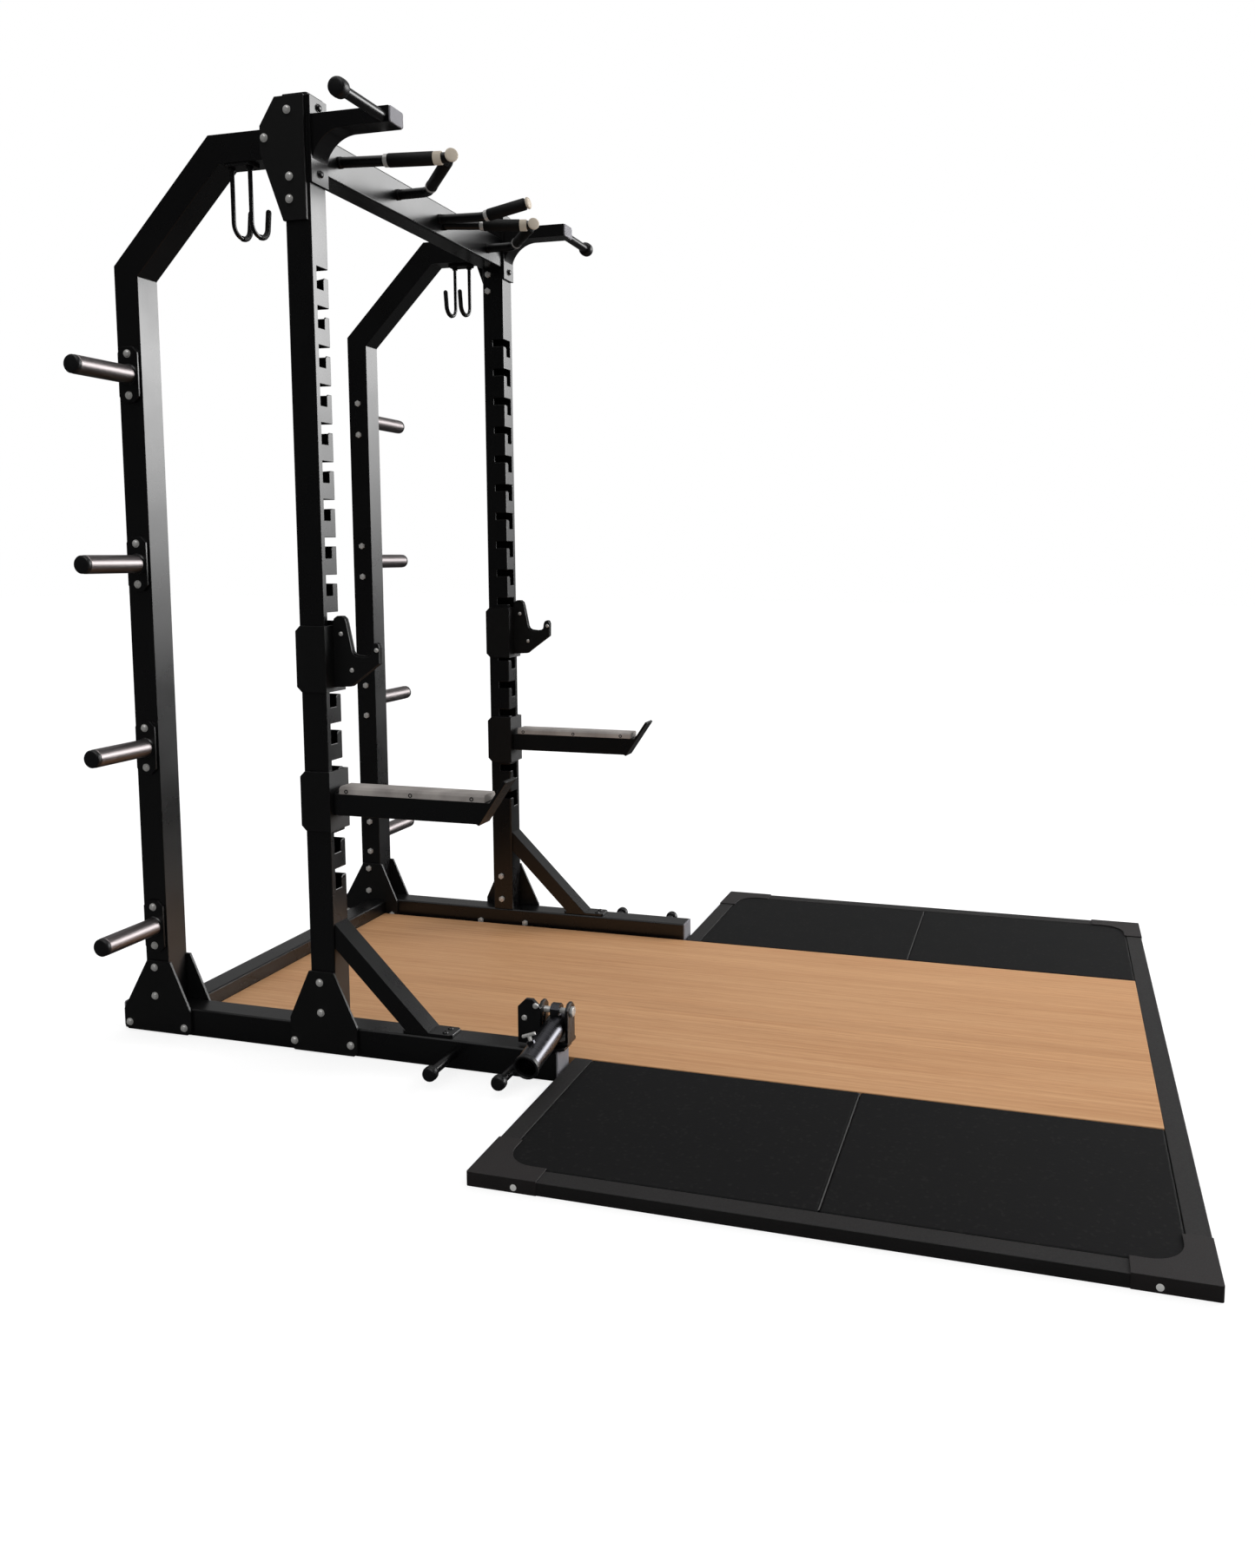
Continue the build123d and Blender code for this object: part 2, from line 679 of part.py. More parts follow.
with BuildPart() as lock_screw:
    with BuildSketch(screw_plane.offset(sleeve_bore + 1)):
        RegularPolygon(screw_r, bar_sides)
    extrude(amount=bar_out - sleeve_bore + 2)
    across = out_way.cross(screw_way)
    bar_start = screw_at + screw_way * bar_out - across * bar_length / 2
    with BuildSketch(Plane(origin=bar_start, z_dir=across)):
        RegularPolygon(bar_r_small, bar_sides)
    extrude(amount=bar_length)
save(lock_screw, "sleeve_lock_screw")

# Platform: wood centre, rubber wings, edge rails and corner covers
rail_out = deck_half - cover
rail_front = deck_front + cover
rail_rear = deck_rear - cover
mat_in, mat_out = wood_half + 2, rail_out - rail_width
mat_y0, mat_y1 = rail_front + rail_width, rail_rear - rail_width
with BuildPart() as wood:
    wood_rear = rear_cross_y - 1
    with BuildSketch(Plane.XY):
        with Locations((0, (mat_y0 + wood_rear) / 2)):
            Rectangle(2 * wood_half, wood_rear - mat_y0)
    extrude(amount=deck_height)
save(wood, "wood_deck")

seam = 2
mat_length = (mat_y1 - mat_y0 - seam) / 2
with BuildPart() as mats:
    with BuildSketch(Plane.XY):
        with Locations((0, (mat_y0 + mat_y1) / 2)):
            with GridLocations(mat_in + mat_out, mat_length + seam, 2, 2):
                Rectangle(mat_out - mat_in, mat_length)
    extrude(amount=deck_height)
save(mats, "rubber_mats")


def rail(plane, length):
    with BuildPart() as piece:
        with BuildSketch(plane):
            Rectangle(rail_width, deck_height)
            Rectangle(rail_width - 2 * cover, deck_height - 2 * cover, mode=Mode.SUBTRACT)
        extrude(amount=length)
    return piece


mid = deck_height / 2
for side, s in sides.items():
    rail_x = s * (rail_out - rail_width / 2)
    side_rail_plane = Plane(origin=(rail_x, rail_front, mid), x_dir=(1, 0, 0), z_dir=(0, 1, 0))
    save(rail(side_rail_plane, rail_rear - rail_front), f"{side}_side_rail")
front_rail_y = rail_front + rail_width / 2
front_rail_plane = Plane(origin=(-mat_out, front_rail_y, mid), x_dir=(0, 1, 0), z_dir=(1, 0, 0))
save(rail(front_rail_plane, 2 * mat_out), "front_rail")
with BuildPart() as rear_rails:
    for x in (-mat_out, mat_in):
        add(rail(Plane(origin=(x, rail_rear - rail_width / 2, mid), x_dir=(0, 1, 0), z_dir=(1, 0, 0)),
                 mat_out - mat_in).part)
save(rear_rails, "rear_rails")

with BuildPart() as covers:
    for sx in sides.values():
        for corner_y, sy in ((deck_front, -1), (deck_rear, 1)):
            x0, y0 = sx * deck_half, corner_y
            leg = rail_width + cover + 6
            with BuildSketch(Plane.XY.offset(deck_height)):
                with BuildLine():
                    Polyline(
                        (x0 - sx * leg, y0 - sy * cover_leg),
                        (x0, y0 - sy * cover_leg),
                        (x0, y0),
                        (x0 - sx * cover_leg, y0),
                        (x0 - sx * cover_leg, y0 - sy * leg),
                        (x0 - sx * (leg + cover_round), y0 - sy * leg),
                    )
                    bow = leg + cover_round * (1 - sin(radians(45)))
                    ThreePointArc(
                        (x0 - sx * (leg + cover_round), y0 - sy * leg),
                        (x0 - sx * bow, y0 - sy * bow),
                        (x0 - sx * leg, y0 - sy * (leg + cover_round)),
                    )
                    Line((x0 - sx * leg, y0 - sy * (leg + cover_round)), (x0 - sx * leg, y0 - sy * cover_leg))
                make_face()
            extrude(amount=cover)
            with BuildSketch(Plane.XY):
                with Locations((x0 - sx * cover / 2, y0 - sy * cover_leg / 2)):
                    Rectangle(cover, cover_leg)
                with Locations((x0 - sx * cover_leg / 2, y0 - sy * cover / 2)):
                    Rectangle(cover_leg, cover)
            extrude(amount=deck_height)
save(covers, "corner_covers")
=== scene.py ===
import json
import math

import bmesh
import bpy
from mathutils import Matrix, Vector

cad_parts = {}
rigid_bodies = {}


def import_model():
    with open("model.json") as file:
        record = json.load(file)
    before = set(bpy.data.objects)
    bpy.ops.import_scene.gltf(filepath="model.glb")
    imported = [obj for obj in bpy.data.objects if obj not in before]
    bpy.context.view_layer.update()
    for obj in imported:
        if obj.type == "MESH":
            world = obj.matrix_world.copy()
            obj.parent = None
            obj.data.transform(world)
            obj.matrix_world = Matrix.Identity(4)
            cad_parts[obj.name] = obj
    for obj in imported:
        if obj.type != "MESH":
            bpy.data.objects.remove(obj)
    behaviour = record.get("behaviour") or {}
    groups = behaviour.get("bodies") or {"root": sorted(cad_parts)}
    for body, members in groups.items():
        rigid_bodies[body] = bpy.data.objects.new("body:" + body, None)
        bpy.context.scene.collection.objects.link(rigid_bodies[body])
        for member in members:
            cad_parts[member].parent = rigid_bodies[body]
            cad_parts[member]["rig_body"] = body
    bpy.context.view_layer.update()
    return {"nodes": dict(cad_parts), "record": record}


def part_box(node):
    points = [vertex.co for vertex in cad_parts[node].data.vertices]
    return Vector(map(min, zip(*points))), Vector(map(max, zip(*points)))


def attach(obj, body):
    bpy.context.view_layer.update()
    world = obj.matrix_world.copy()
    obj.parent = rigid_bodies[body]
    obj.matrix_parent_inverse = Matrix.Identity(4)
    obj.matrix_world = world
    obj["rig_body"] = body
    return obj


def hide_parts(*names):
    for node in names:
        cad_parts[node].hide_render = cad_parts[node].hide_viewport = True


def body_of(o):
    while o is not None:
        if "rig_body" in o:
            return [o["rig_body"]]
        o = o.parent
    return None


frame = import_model()
nodes = frame["nodes"]
slotOf = {part["node"]: part["material_slot"] for part in frame["record"]["subparts"]}
mm = 0.001
sides = {"left": -1, "right": 1}
print("frame loaded:", len(nodes), "nodes")


def hexColour(code):
    parts = [int(code[i:i + 2], 16) / 255 for i in (1, 3, 5)]
    linear = [c / 12.92 if c <= 0.04045 else ((c + 0.055) / 1.055) ** 2.4 for c in parts]
    return (*linear, 1.0)


def addNode(tree, kind, inputs=None, **settings):
    node = tree.nodes.new(kind)
    for name, value in settings.items():
        setattr(node, name, value)
    setSockets(tree, node, inputs or {})
    return node


def setSockets(tree, node, inputs):
    for socket, value in inputs.items():
        if isinstance(value, bpy.types.NodeSocket):
            tree.links.new(value, node.inputs[socket])
        else:
            node.inputs[socket].default_value = value


def startMaterial(name):
    material = bpy.data.materials.new(name)
    material.use_nodes = True
    tree = material.node_tree
    place = addNode(tree, "ShaderNodeTexCoord").outputs["Object"]
    return material, tree, tree.nodes["Principled BSDF"], place


powderCoatLook = {
    "dark": "#050506",
    "pale": "#0a0a0b",
    "dust": "#141313",
    # each pattern's size in millimetres and its detail
    "blotch": (180, 4.0),
    "grit": (14, 6.0),
    "peel": (6, 2.0),  # real orange peel is near 1 mm, drawn coarser so that it shows
    "peelDepth": 0.02,
    "blotchRange": (0.3, 0.7),
    "flatFrom": (0.75, 1.0),  # how far a face has to look up before dust lies on it
    "dustRange": (0.4, 0.7),
    "dustMost": 0.6,
    "rough": (0.25, 0.32),
    "level": 0.5,
}


def makePowderCoat():
    # satin black polyester powder on steel: near black, a soft sheen, faint orange peel,
    # and a little dust where it lies flat
    look = powderCoatLook
    material, tree, shader, place = startMaterial("satinPowderCoat")
    patterns = []
    for size, detail in (look["blotch"], look["grit"], look["peel"]):
        noise = {"Vector": place, "Scale": 1 / (size * mm), "Detail": detail}
        patterns.append(addNode(tree, "ShaderNodeTexNoise", noise).outputs["Fac"])
    blotch, grit, peel = patterns
    normal = addNode(tree, "ShaderNodeNewGeometry").outputs["Normal"]
    upward = addNode(tree, "ShaderNodeSeparateXYZ", {"Vector": normal}).outputs["Z"]
    low, high = look["flatFrom"]
    flatness = {"Value": upward, "From Min": low, "From Max": high, "To Max": look["dustMost"]}
    lying = addNode(tree, "ShaderNodeMapRange", flatness).outputs["Result"]
    low, high = look["dustRange"]
    settled = {"Value": grit, "From Min": low, "From Max": high, "To Max": lying}
    dust = addNode(tree, "ShaderNodeMapRange", settled).outputs["Result"]
    tones = {0: blotch, 6: hexColour(look["dark"]), 7: hexColour(look["pale"])}
    coat = addNode(tree, "ShaderNodeMix", tones, data_type="RGBA").outputs[2]
    dusty = {0: dust, 6: coat, 7: hexColour(look["dust"])}
    low, high = look["blotchRange"]
    satin, dull = look["rough"]
    gloss = {"Value": blotch, "From Min": low, "From Max": high, "To Min": satin, "To Max": dull}
    relief = {"Height": peel, "Distance": look["peelDepth"] * mm}
    setSockets(tree, shader, {
        "Base Color": addNode(tree, "ShaderNodeMix", dusty, data_type="RGBA").outputs[2],
        "Roughness": addNode(tree, "ShaderNodeMapRange", gloss).outputs["Result"],
        "Specular IOR Level": look["level"],
        "Normal": addNode(tree, "ShaderNodeBump", relief).outputs[0],
    })
    return material


mouldedPattern = {"grainDetail": 3.0, "toneDetail": 4.0, "toneGrains": 20, "roughSpread": 0.1}
# two close tones, a grain size in millimetres and how deep it is, roughness and strength of the sheen
# the real grains are under 1 mm, drawn coarser so that they show
mouldedLooks = {
    # painted edge rail: dark warm grey with a dull sheen
    "charcoalRailCoat": {
        "tones": ("#110f0f", "#181616"), "grainMm": 4, "depth": 0.03, "rough": 0.62, "level": 0.4,
    },
    # finely textured powder on the cut plates: near black, duller than the tubes
    "texturedPlateCoat": {
        "tones": ("#060607", "#0b0b0c"), "grainMm": 4, "depth": 0.02, "rough": 0.5, "level": 0.45,
    },
    # moulded corner cover: dark warm grey, finely pebbled
    "mouldedCoverRubber": {
        "tones": ("#171414", "#201c1c"), "grainMm": 3, "depth": 0.06, "rough": 0.62, "level": 0.4,
    },
    # foamed rubber sleeve on the handles: dead black with a soft grain
    "gripRubber": {
        "tones": ("#0a0a0a", "#121212"), "grainMm": 2.5, "depth": 0.1, "rough": 0.65, "level": 0.3,
    },
    # injection moulded nylon: black with a low sheen
    "blackNylon": {
        "tones": ("#08080a", "#101012"), "grainMm": 2.5, "depth": 0.03, "rough": 0.45, "level": 0.4,
    },
    # sawn urethane pad: matt black, no sheen
    "mattUrethane": {
        "tones": ("#060606", "#0c0c0c"), "grainMm": 3, "depth": 0.08, "rough": 0.75, "level": 0.2,
    },
    # grey end plug: plain mid grey with a low sheen
    "greyNylon": {
        "tones": ("#75747a", "#88878b"), "grainMm": 2.5, "depth": 0.01, "rough": 0.55, "level": 0.3,
    },
    # pale end disc: warm off-white
    "creamNylon": {
        "tones": ("#c7bba9", "#d6cbbb"), "grainMm": 2.5, "depth": 0.01, "rough": 0.52, "level": 0.35,
    },
    # scuffed wear strip: worn warm grey plastic with dark rubbed patches
    "scuffedWearPlastic": {
        "tones": ("#625d5a", "#c4bdb8"), "grainMm": 4, "depth": 0.06, "rough": 0.5, "level": 0.4,
    },
    # painted highlight: a pale strip where two mats meet, in place of the sheen on the seam's edges
    "paintedSeamHighlight": {
        "tones": ("#3c3c3b", "#505050"), "grainMm": 3, "depth": 0.05, "rough": 0.7, "level": 0.2,
    },
}


def makeMoulded(name):
    look, pattern = mouldedLooks[name], mouldedPattern
    material, tree, shader, place = startMaterial(name)
    grainSize = look["grainMm"] * mm
    grainSpot = {"Vector": place, "Scale": 1 / grainSize, "Detail": pattern["grainDetail"]}
    grain = addNode(tree, "ShaderNodeTexNoise", grainSpot).outputs["Fac"]
    toneSize = grainSize * pattern["toneGrains"]
    toneSpot = {"Vector": place, "Scale": 1 / toneSize, "Detail": pattern["toneDetail"]}
    tone = addNode(tree, "ShaderNodeTexNoise", toneSpot).outputs["Fac"]
    low, high = (hexColour(code) for code in look["tones"])
    spread = pattern["roughSpread"]
    gloss = {"Value": grain, "To Min": look["rough"] - spread, "To Max": look["rough"] + spread}
    relief = {"Height": grain, "Distance": look["depth"] * mm}
    setSockets(tree, shader, {
        "Base Color": addNode(tree, "ShaderNodeMix", {0: tone, 6: low, 7: high}, data_type="RGBA").outputs[2],
        "Roughness": addNode(tree, "ShaderNodeMapRange", gloss).outputs["Result"],
        "Specular IOR Level": look["level"],
        "Normal": addNode(tree, "ShaderNodeBump", relief).outputs[0],
    })
    return material


metalPattern = {"detail": 3.0, "roughSpread": 0.1, "depth": 0.01}
# two close tones, the pattern's lengths along X, Y and Z in millimetres, roughness and how bare the metal is
metalLooks = {
    # chrome plate worn by weight plates: warm grey with long soft scuffs
    "wornHornChrome": {
        "tones": ("#6b6666", "#847e7e"), "lineMm": (120, 5, 5), "rough": 0.42, "bare": 1.0,
    },
    # zinc plate under a clear passivate: silver, slightly cloudy and milky
    "zincPlatedSteel": {
        "tones": ("#b8b7b4", "#d4d3d0"), "lineMm": (6, 6, 6), "rough": 0.34, "bare": 0.45,
    },
    # zinc flake coat on the cover bolts: pale matt silver
    "zincFlakeCoat": {
        "tones": ("#dcdcd9", "#ededea"), "lineMm": (4, 4, 4), "rough": 0.45, "bare": 0.2,
    },
    # turned steel tube: darker grey with fine lathe lines round it
    "turnedSleeveSteel": {
        "tones": ("#3d3d41", "#535357"), "lineMm": (3, 90, 90), "rough": 0.27, "bare": 1.0,
    },
}


def makeMetal(name):
    look, pattern = metalLooks[name], metalPattern
    material, tree, shader, place = startMaterial(name)
    scale = tuple(1 / (length * mm) for length in look["lineMm"])
    spot = addNode(tree, "ShaderNodeMapping", {"Vector": place, "Scale": scale}).outputs["Vector"]
    noise = {"Vector": spot, "Scale": 1.0, "Detail": pattern["detail"]}
    lines = addNode(tree, "ShaderNodeTexNoise", noise).outputs["Fac"]
    low, high = (hexColour(code) for code in look["tones"])
    tones = {0: lines, 6: low, 7: high}
    spread = pattern["roughSpread"]
    gloss = {"Value": lines, "To Min": look["rough"] - spread, "To Max": look["rough"] + spread}
    relief = {"Height": lines, "Distance": pattern["depth"] * mm}
    setSockets(tree, shader, {
        "Base Color": addNode(tree, "ShaderNodeMix", tones, data_type="RGBA").outputs[2],
        "Metallic": look["bare"],
        "Roughness": addNode(tree, "ShaderNodeMapRange", gloss).outputs["Result"],
        "Normal": addNode(tree, "ShaderNodeBump", relief).outputs[0],
    })
    return material


woodLook = {
    "mid": "#bd8a5f",
    "pale": "#d1a378",
    "dark": "#96663f",
    "stripMm": 62,
    # each pattern's lengths along X, Y and Z in millimetres and its detail
    "grain": ((9, 900, 9), 5.0),
    "pore": ((2.6, 90, 2.6), 3.0),  # real pores are finer, drawn coarser so that they show
    "cloud": ((240, 900, 240), 2.0),
    "noiseRough": 0.6,
    # the range of each pattern that tints the wood, and the most that it tints it
    "grainTint": (0.3, 0.7, 1.0),
    "poreTint": (0.52, 0.8, 0.6),
    "stripTint": (0.0, 1.0, 0.22),
    "cloudTint": (0.35, 0.7, 0.3),
    "poreDepth": 0.04,
    "rough": (0.44, 0.62),
    "level": 0.22,
}


def makeWood():
    # oiled bamboo deck: golden tan, long straight grain, close tones from strip to strip
    look = woodLook
    material, tree, shader, place = startMaterial("oiledBamboo")
    patterns = []
    for lengths, detail in (look["grain"], look["pore"], look["cloud"]):
        scale = tuple(1 / (length * mm) for length in lengths)
        spot = addNode(tree, "ShaderNodeMapping", {"Vector": place, "Scale": scale}).outputs["Vector"]
        noise = {"Vector": spot, "Scale": 1.0, "Detail": detail, "Roughness": look["noiseRough"]}
        patterns.append(addNode(tree, "ShaderNodeTexNoise", noise).outputs["Fac"])
    grain, pores, clouds = patterns
    across = addNode(tree, "ShaderNodeSeparateXYZ", {"Vector": place}).outputs["X"]
    stripAt = {0: across, 1: look["stripMm"] * mm}
    strip = addNode(tree, "ShaderNodeMath", stripAt, operation="SNAP").outputs[0]
    stripTone = addNode(tree, "ShaderNodeTexWhiteNoise", {"W": strip}, noise_dimensions="1D").outputs["Value"]
    shares = []
    tints = {"grainTint": grain, "poreTint": pores, "stripTint": stripTone, "cloudTint": clouds}
    for key, value in tints.items():
        low, high, most = look[key]
        share = {"Value": value, "From Min": low, "From Max": high, "To Max": most}
        shares.append(addNode(tree, "ShaderNodeMapRange", share).outputs["Result"])
    mid, pale, dark = (hexColour(look[key]) for key in ("mid", "pale", "dark"))
    colour = addNode(tree, "ShaderNodeMix", {0: shares[0], 6: mid, 7: pale}, data_type="RGBA").outputs[2]
    for share, tint in zip(shares[1:], (dark, dark, pale)):
        colour = addNode(tree, "ShaderNodeMix", {0: share, 6: colour, 7: tint}, data_type="RGBA").outputs[2]
    satin, dull = look["rough"]
    gloss = {"Value": pores, "To Min": satin, "To Max": dull}
    relief = {"Height": pores, "Distance": look["poreDepth"] * mm}
    setSockets(tree, shader, {
        "Base Color": colour,
        "Roughness": addNode(tree, "ShaderNodeMapRange", gloss).outputs["Result"],
        "Specular IOR Level": look["level"],
        "Normal": addNode(tree, "ShaderNodeBump", relief).outputs[0],
    })
    return material


matLook = {
    "dark": "#08080a",
    "pale": "#101010",
    "fleck": "#1e1e1d",
    "crumbMm": 7,  # real crumb is 1 to 3 mm, drawn coarser so that it shows
    "crumbDepth": 0.1,
    "cloud": (320, 3.0),  # size in millimetres and detail
    "fleckRange": (0.9, 0.97),
    "fleckMost": 0.5,
    "rough": (0.6, 0.75),
    "level": 0.12,
}


def makeMatRubber():
    # pressed crumb rubber: near black and dull, finely pebbled, with a few paler flecks
    look = matLook
    material, tree, shader, place = startMaterial("crumbRubber")
    cells = addNode(tree, "ShaderNodeTexVoronoi", {"Vector": place, "Scale": 1 / (look["crumbMm"] * mm)})
    size, detail = look["cloud"]
    cloudSpot = {"Vector": place, "Scale": 1 / (size * mm), "Detail": detail}
    clouds = addNode(tree, "ShaderNodeTexNoise", cloudSpot).outputs["Fac"]
    tones = {0: clouds, 6: hexColour(look["dark"]), 7: hexColour(look["pale"])}
    base = addNode(tree, "ShaderNodeMix", tones, data_type="RGBA").outputs[2]
    red = addNode(tree, "ShaderNodeSeparateColor", {"Color": cells.outputs["Color"]}).outputs["Red"]
    low, high = look["fleckRange"]
    chosen = {"Value": red, "From Min": low, "From Max": high, "To Max": look["fleckMost"]}
    few = addNode(tree, "ShaderNodeMapRange", chosen).outputs["Result"]
    flecked = {0: few, 6: base, 7: hexColour(look["fleck"])}
    satin, dull = look["rough"]
    gloss = {"Value": clouds, "To Min": satin, "To Max": dull}
    relief = {"Height": cells.outputs["Distance"], "Distance": look["crumbDepth"] * mm}
    setSockets(tree, shader, {
        "Base Color": addNode(tree, "ShaderNodeMix", flecked, data_type="RGBA").outputs[2],
        "Roughness": addNode(tree, "ShaderNodeMapRange", gloss).outputs["Result"],
        "Specular IOR Level": look["level"],
        "Normal": addNode(tree, "ShaderNodeBump", relief).outputs[0],
    })
    return material


powderCoat = makePowderCoat()
moulded = {name: makeMoulded(name) for name in mouldedLooks}
metals = {name: makeMetal(name) for name in metalLooks}
zincSteel = metals["zincPlatedSteel"]
slotLooks = {
    "black_coat": powderCoat,
    "charcoal_coat": moulded["charcoalRailCoat"],
    "horn_chrome": metals["wornHornChrome"],
    "zinc_steel": zincSteel,
    "sleeve_steel": metals["turnedSleeveSteel"],
    "grip_rubber": moulded["gripRubber"],
    "mat_rubber": makeMatRubber(),
    "black_plastic": moulded["blackNylon"],
    "grey_plastic": moulded["greyNylon"],
    "wear_plastic": moulded["scuffedWearPlastic"],
    "oiled_wood": makeWood(),
}
for node, slotName in slotOf.items():
    nodes[node].data.materials.clear()
    nodes[node].data.materials.append(slotLooks[slotName])
print("materials ready:", len(bpy.data.materials))

mergeMm = 0.01
sunkMm = 1  # how far a turned shape goes into what carries it
flatAngle = 1  # faces that differ by less, in degrees, are one flat face
# how many flats each kind of turned shape has
flats = {
    "stub": 12, "hook": 14, "dip": 16, "bolt": 18, "screw": 20, "bar": 20,
    "peg": 24, "knob": 28, "grip": 28, "disc": 32, "cap": 36, "horn": 40,
}


def finishPiece(name, bm, material, body, replaced=(), smooth=35):
    bmesh.ops.remove_doubles(bm, verts=bm.verts, dist=mergeMm * mm)
    bmesh.ops.recalc_face_normals(bm, faces=bm.faces)
    mesh = bpy.data.meshes.new(name)
    bm.to_mesh(mesh)
    bm.free()
    mesh.shade_smooth()
    mesh.set_sharp_from_angle(angle=math.radians(smooth))
    mesh.materials.append(material)
    piece = bpy.data.objects.new(name, mesh)
    bpy.context.scene.collection.objects.link(piece)
    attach(piece, body)
    if replaced:
        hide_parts(*replaced)


def turnProfile(bm, profile, centre, axis, steps):
    # profile is (distance along the axis, radius) in millimetres, spun right round
    axis = Vector(axis).normalized()
    out = axis.orthogonal().normalized()
    origin = Vector(centre) * mm
    dots = [bm.verts.new(origin + (axis * along + out * radius) * mm) for along, radius in profile]
    lines = [bm.edges.new(pair) for pair in zip(dots, dots[1:])]
    bmesh.ops.spin(bm, geom=dots + lines, cent=origin, axis=axis, angle=math.tau, steps=steps, use_merge=True)


def runRod(bm, points, radius, segments, bend=0, bendSteps=10):
    # a round rod along points in millimetres: straight runs are extruded,
    # and each corner is spun about its own centre
    stops = [Vector(point) * mm for point in points]
    here = stops[0]
    way = (stops[1] - here).normalized()
    start = Matrix.Translation(here) @ way.to_track_quat("Z", "Y").to_matrix().to_4x4()
    made = bmesh.ops.create_circle(bm, cap_ends=True, segments=segments, radius=radius * mm, matrix=start)
    rim = list({edge for vert in made["verts"] for edge in vert.link_edges})
    for index, corner in enumerate(stops[1:], 1):
        goal, after, turn = corner, None, 0
        if index < len(stops) - 1:
            after = (stops[index + 1] - corner).normalized()
            turn = way.angle(after)
            goal = corner - way * (bend * mm * math.tan(turn / 2))
        made = bmesh.ops.extrude_edge_only(bm, edges=rim)["geom"]
        dots = [part for part in made if isinstance(part, bmesh.types.BMVert)]
        rim = [part for part in made if isinstance(part, bmesh.types.BMEdge) and part.is_boundary]
        bmesh.ops.translate(bm, verts=dots, vec=goal - here)
        here = goal
        if after:
            axis = way.cross(after).normalized()
            centre = goal + axis.cross(way) * (bend * mm)
            spun = bmesh.ops.spin(bm, geom=dots + rim, cent=centre, axis=axis, angle=turn, steps=bendSteps)
            rim = [part for part in spun["geom_last"] if isinstance(part, bmesh.types.BMEdge)]
            here = corner + after * (bend * mm * math.tan(turn / 2))
            way = after
    bmesh.ops.contextual_create(bm, geom=rim)


def easeEdges(bm, edges, bevelMm, segments, clamp=False):
    bmesh.ops.bevel(
        bm, geom=edges, offset=bevelMm * mm, segments=segments, profile=0.5,
        affect="EDGES", material=-1, clamp_overlap=clamp,
    )


def sharpEdges(bm, angle):
    pairs = [edge for edge in bm.edges if len(edge.link_faces) == 2]
    return [edge for edge in pairs if edge.calc_face_angle() > math.radians(angle)]


def copyNode(node):
    # the CAD mesh is loose triangles, so they are joined and the flat ones made whole faces
    bm = bmesh.new()
    bm.from_mesh(nodes[node].data)
    bmesh.ops.remove_doubles(bm, verts=bm.verts, dist=mergeMm * mm)
    bmesh.ops.dissolve_limit(bm, angle_limit=math.radians(flatAngle), verts=bm.verts, edges=bm.edges)
    return bm


def addPlate(bm, corners, push, bevelMm=1.0):
    # a flat plate from its corners in millimetres, pushed through and its edges eased
    face = bm.faces.new([bm.verts.new(Vector(corner) * mm) for corner in corners])
    far = bmesh.ops.extrude_face_region(bm, geom=[face])["geom"]
    dots = [part for part in far if isinstance(part, bmesh.types.BMVert)]
    bmesh.ops.translate(bm, verts=dots, vec=Vector(push) * mm)
    easeEdges(bm, list({edge for part in face.verts[:] + dots for edge in part.link_edges}), bevelMm, 2)


easedEdgeAngle = 20
# eased copies of the CAD nodes: the bevel in millimetres, its segments
# and the angle up to which shading runs on
easedLooks = {
    "tubes": {
        "nodes": ["base_beam", "front_upright", "rear_frame", "top_arm", "safety_arm", "brace"],
        "middle": ["top_crossmember", "rear_crossmember"],
        "bevel": 1.4, "segments": 2, "smooth": 5,
    },
    "plates": {
        "nodes": [
            "front_gussets", "rear_gussets", "top_plates", "catch_bracket", "catch_hook", "arm_bracket",
        ],
        "middle": ["hook_hangers"],
        "bevel": 0.9, "segments": 2, "smooth": 5, "finish": "texturedPlateCoat",
    },
    "pads": {
        "nodes": ["catch_pad"], "middle": [],
        "bevel": 0.8, "segments": 2, "smooth": 5, "finish": "mattUrethane",
    },
    "strips": {"nodes": ["wear_strip"], "middle": [], "bevel": 1.6, "segments": 3, "smooth": 5},
    "rails": {
        "nodes": ["side_rail"], "middle": ["front_rail", "rear_rails"],
        "bevel": 2.2, "segments": 3, "smooth": 5,
    },
    "deck": {"nodes": [], "middle": ["wood_deck"], "bevel": 2.0, "segments": 3, "smooth": 5},
    "mats": {"nodes": [], "middle": ["rubber_mats"], "bevel": 6.0, "segments": 3, "smooth": 5},
    "caps": {
        "nodes": [], "middle": ["beam_end_caps", "top_arm_caps", "upright_caps"],
        "bevel": 2.0, "segments": 3, "smooth": 20,
    },
    "pivot": {
        "nodes": [], "middle": ["sleeve_pivot_base", "sleeve_pivot_pin", "sleeve_yoke"],
        "bevel": 0.8, "segments": 2, "smooth": 32,
    },
    "ring": {"nodes": [], "middle": ["sleeve_end_ring"], "bevel": 2.4, "segments": 3, "smooth": 32},
}


def easeNode(node, look):
    bm = copyNode(node)
    easeEdges(bm, sharpEdges(bm, easedEdgeAngle), look["bevel"], look["segments"], clamp=True)
    finish = moulded[look["finish"]] if "finish" in look else slotLooks[slotOf[node]]
    finishPiece(f"{node}.eased", bm, finish, body_of(nodes[node])[0], [node], look["smooth"])


for look in easedLooks.values():
    for node in [f"{side}_{part}" for part in look["nodes"] for side in sides] + look["middle"]:
        easeNode(node, look)
print("eased copies ready")

seamHighlightLook = {"y": -681, "half": 1.5, "x": (515, 1070), "z": (29.4, 30.4), "bevel": 0.3}


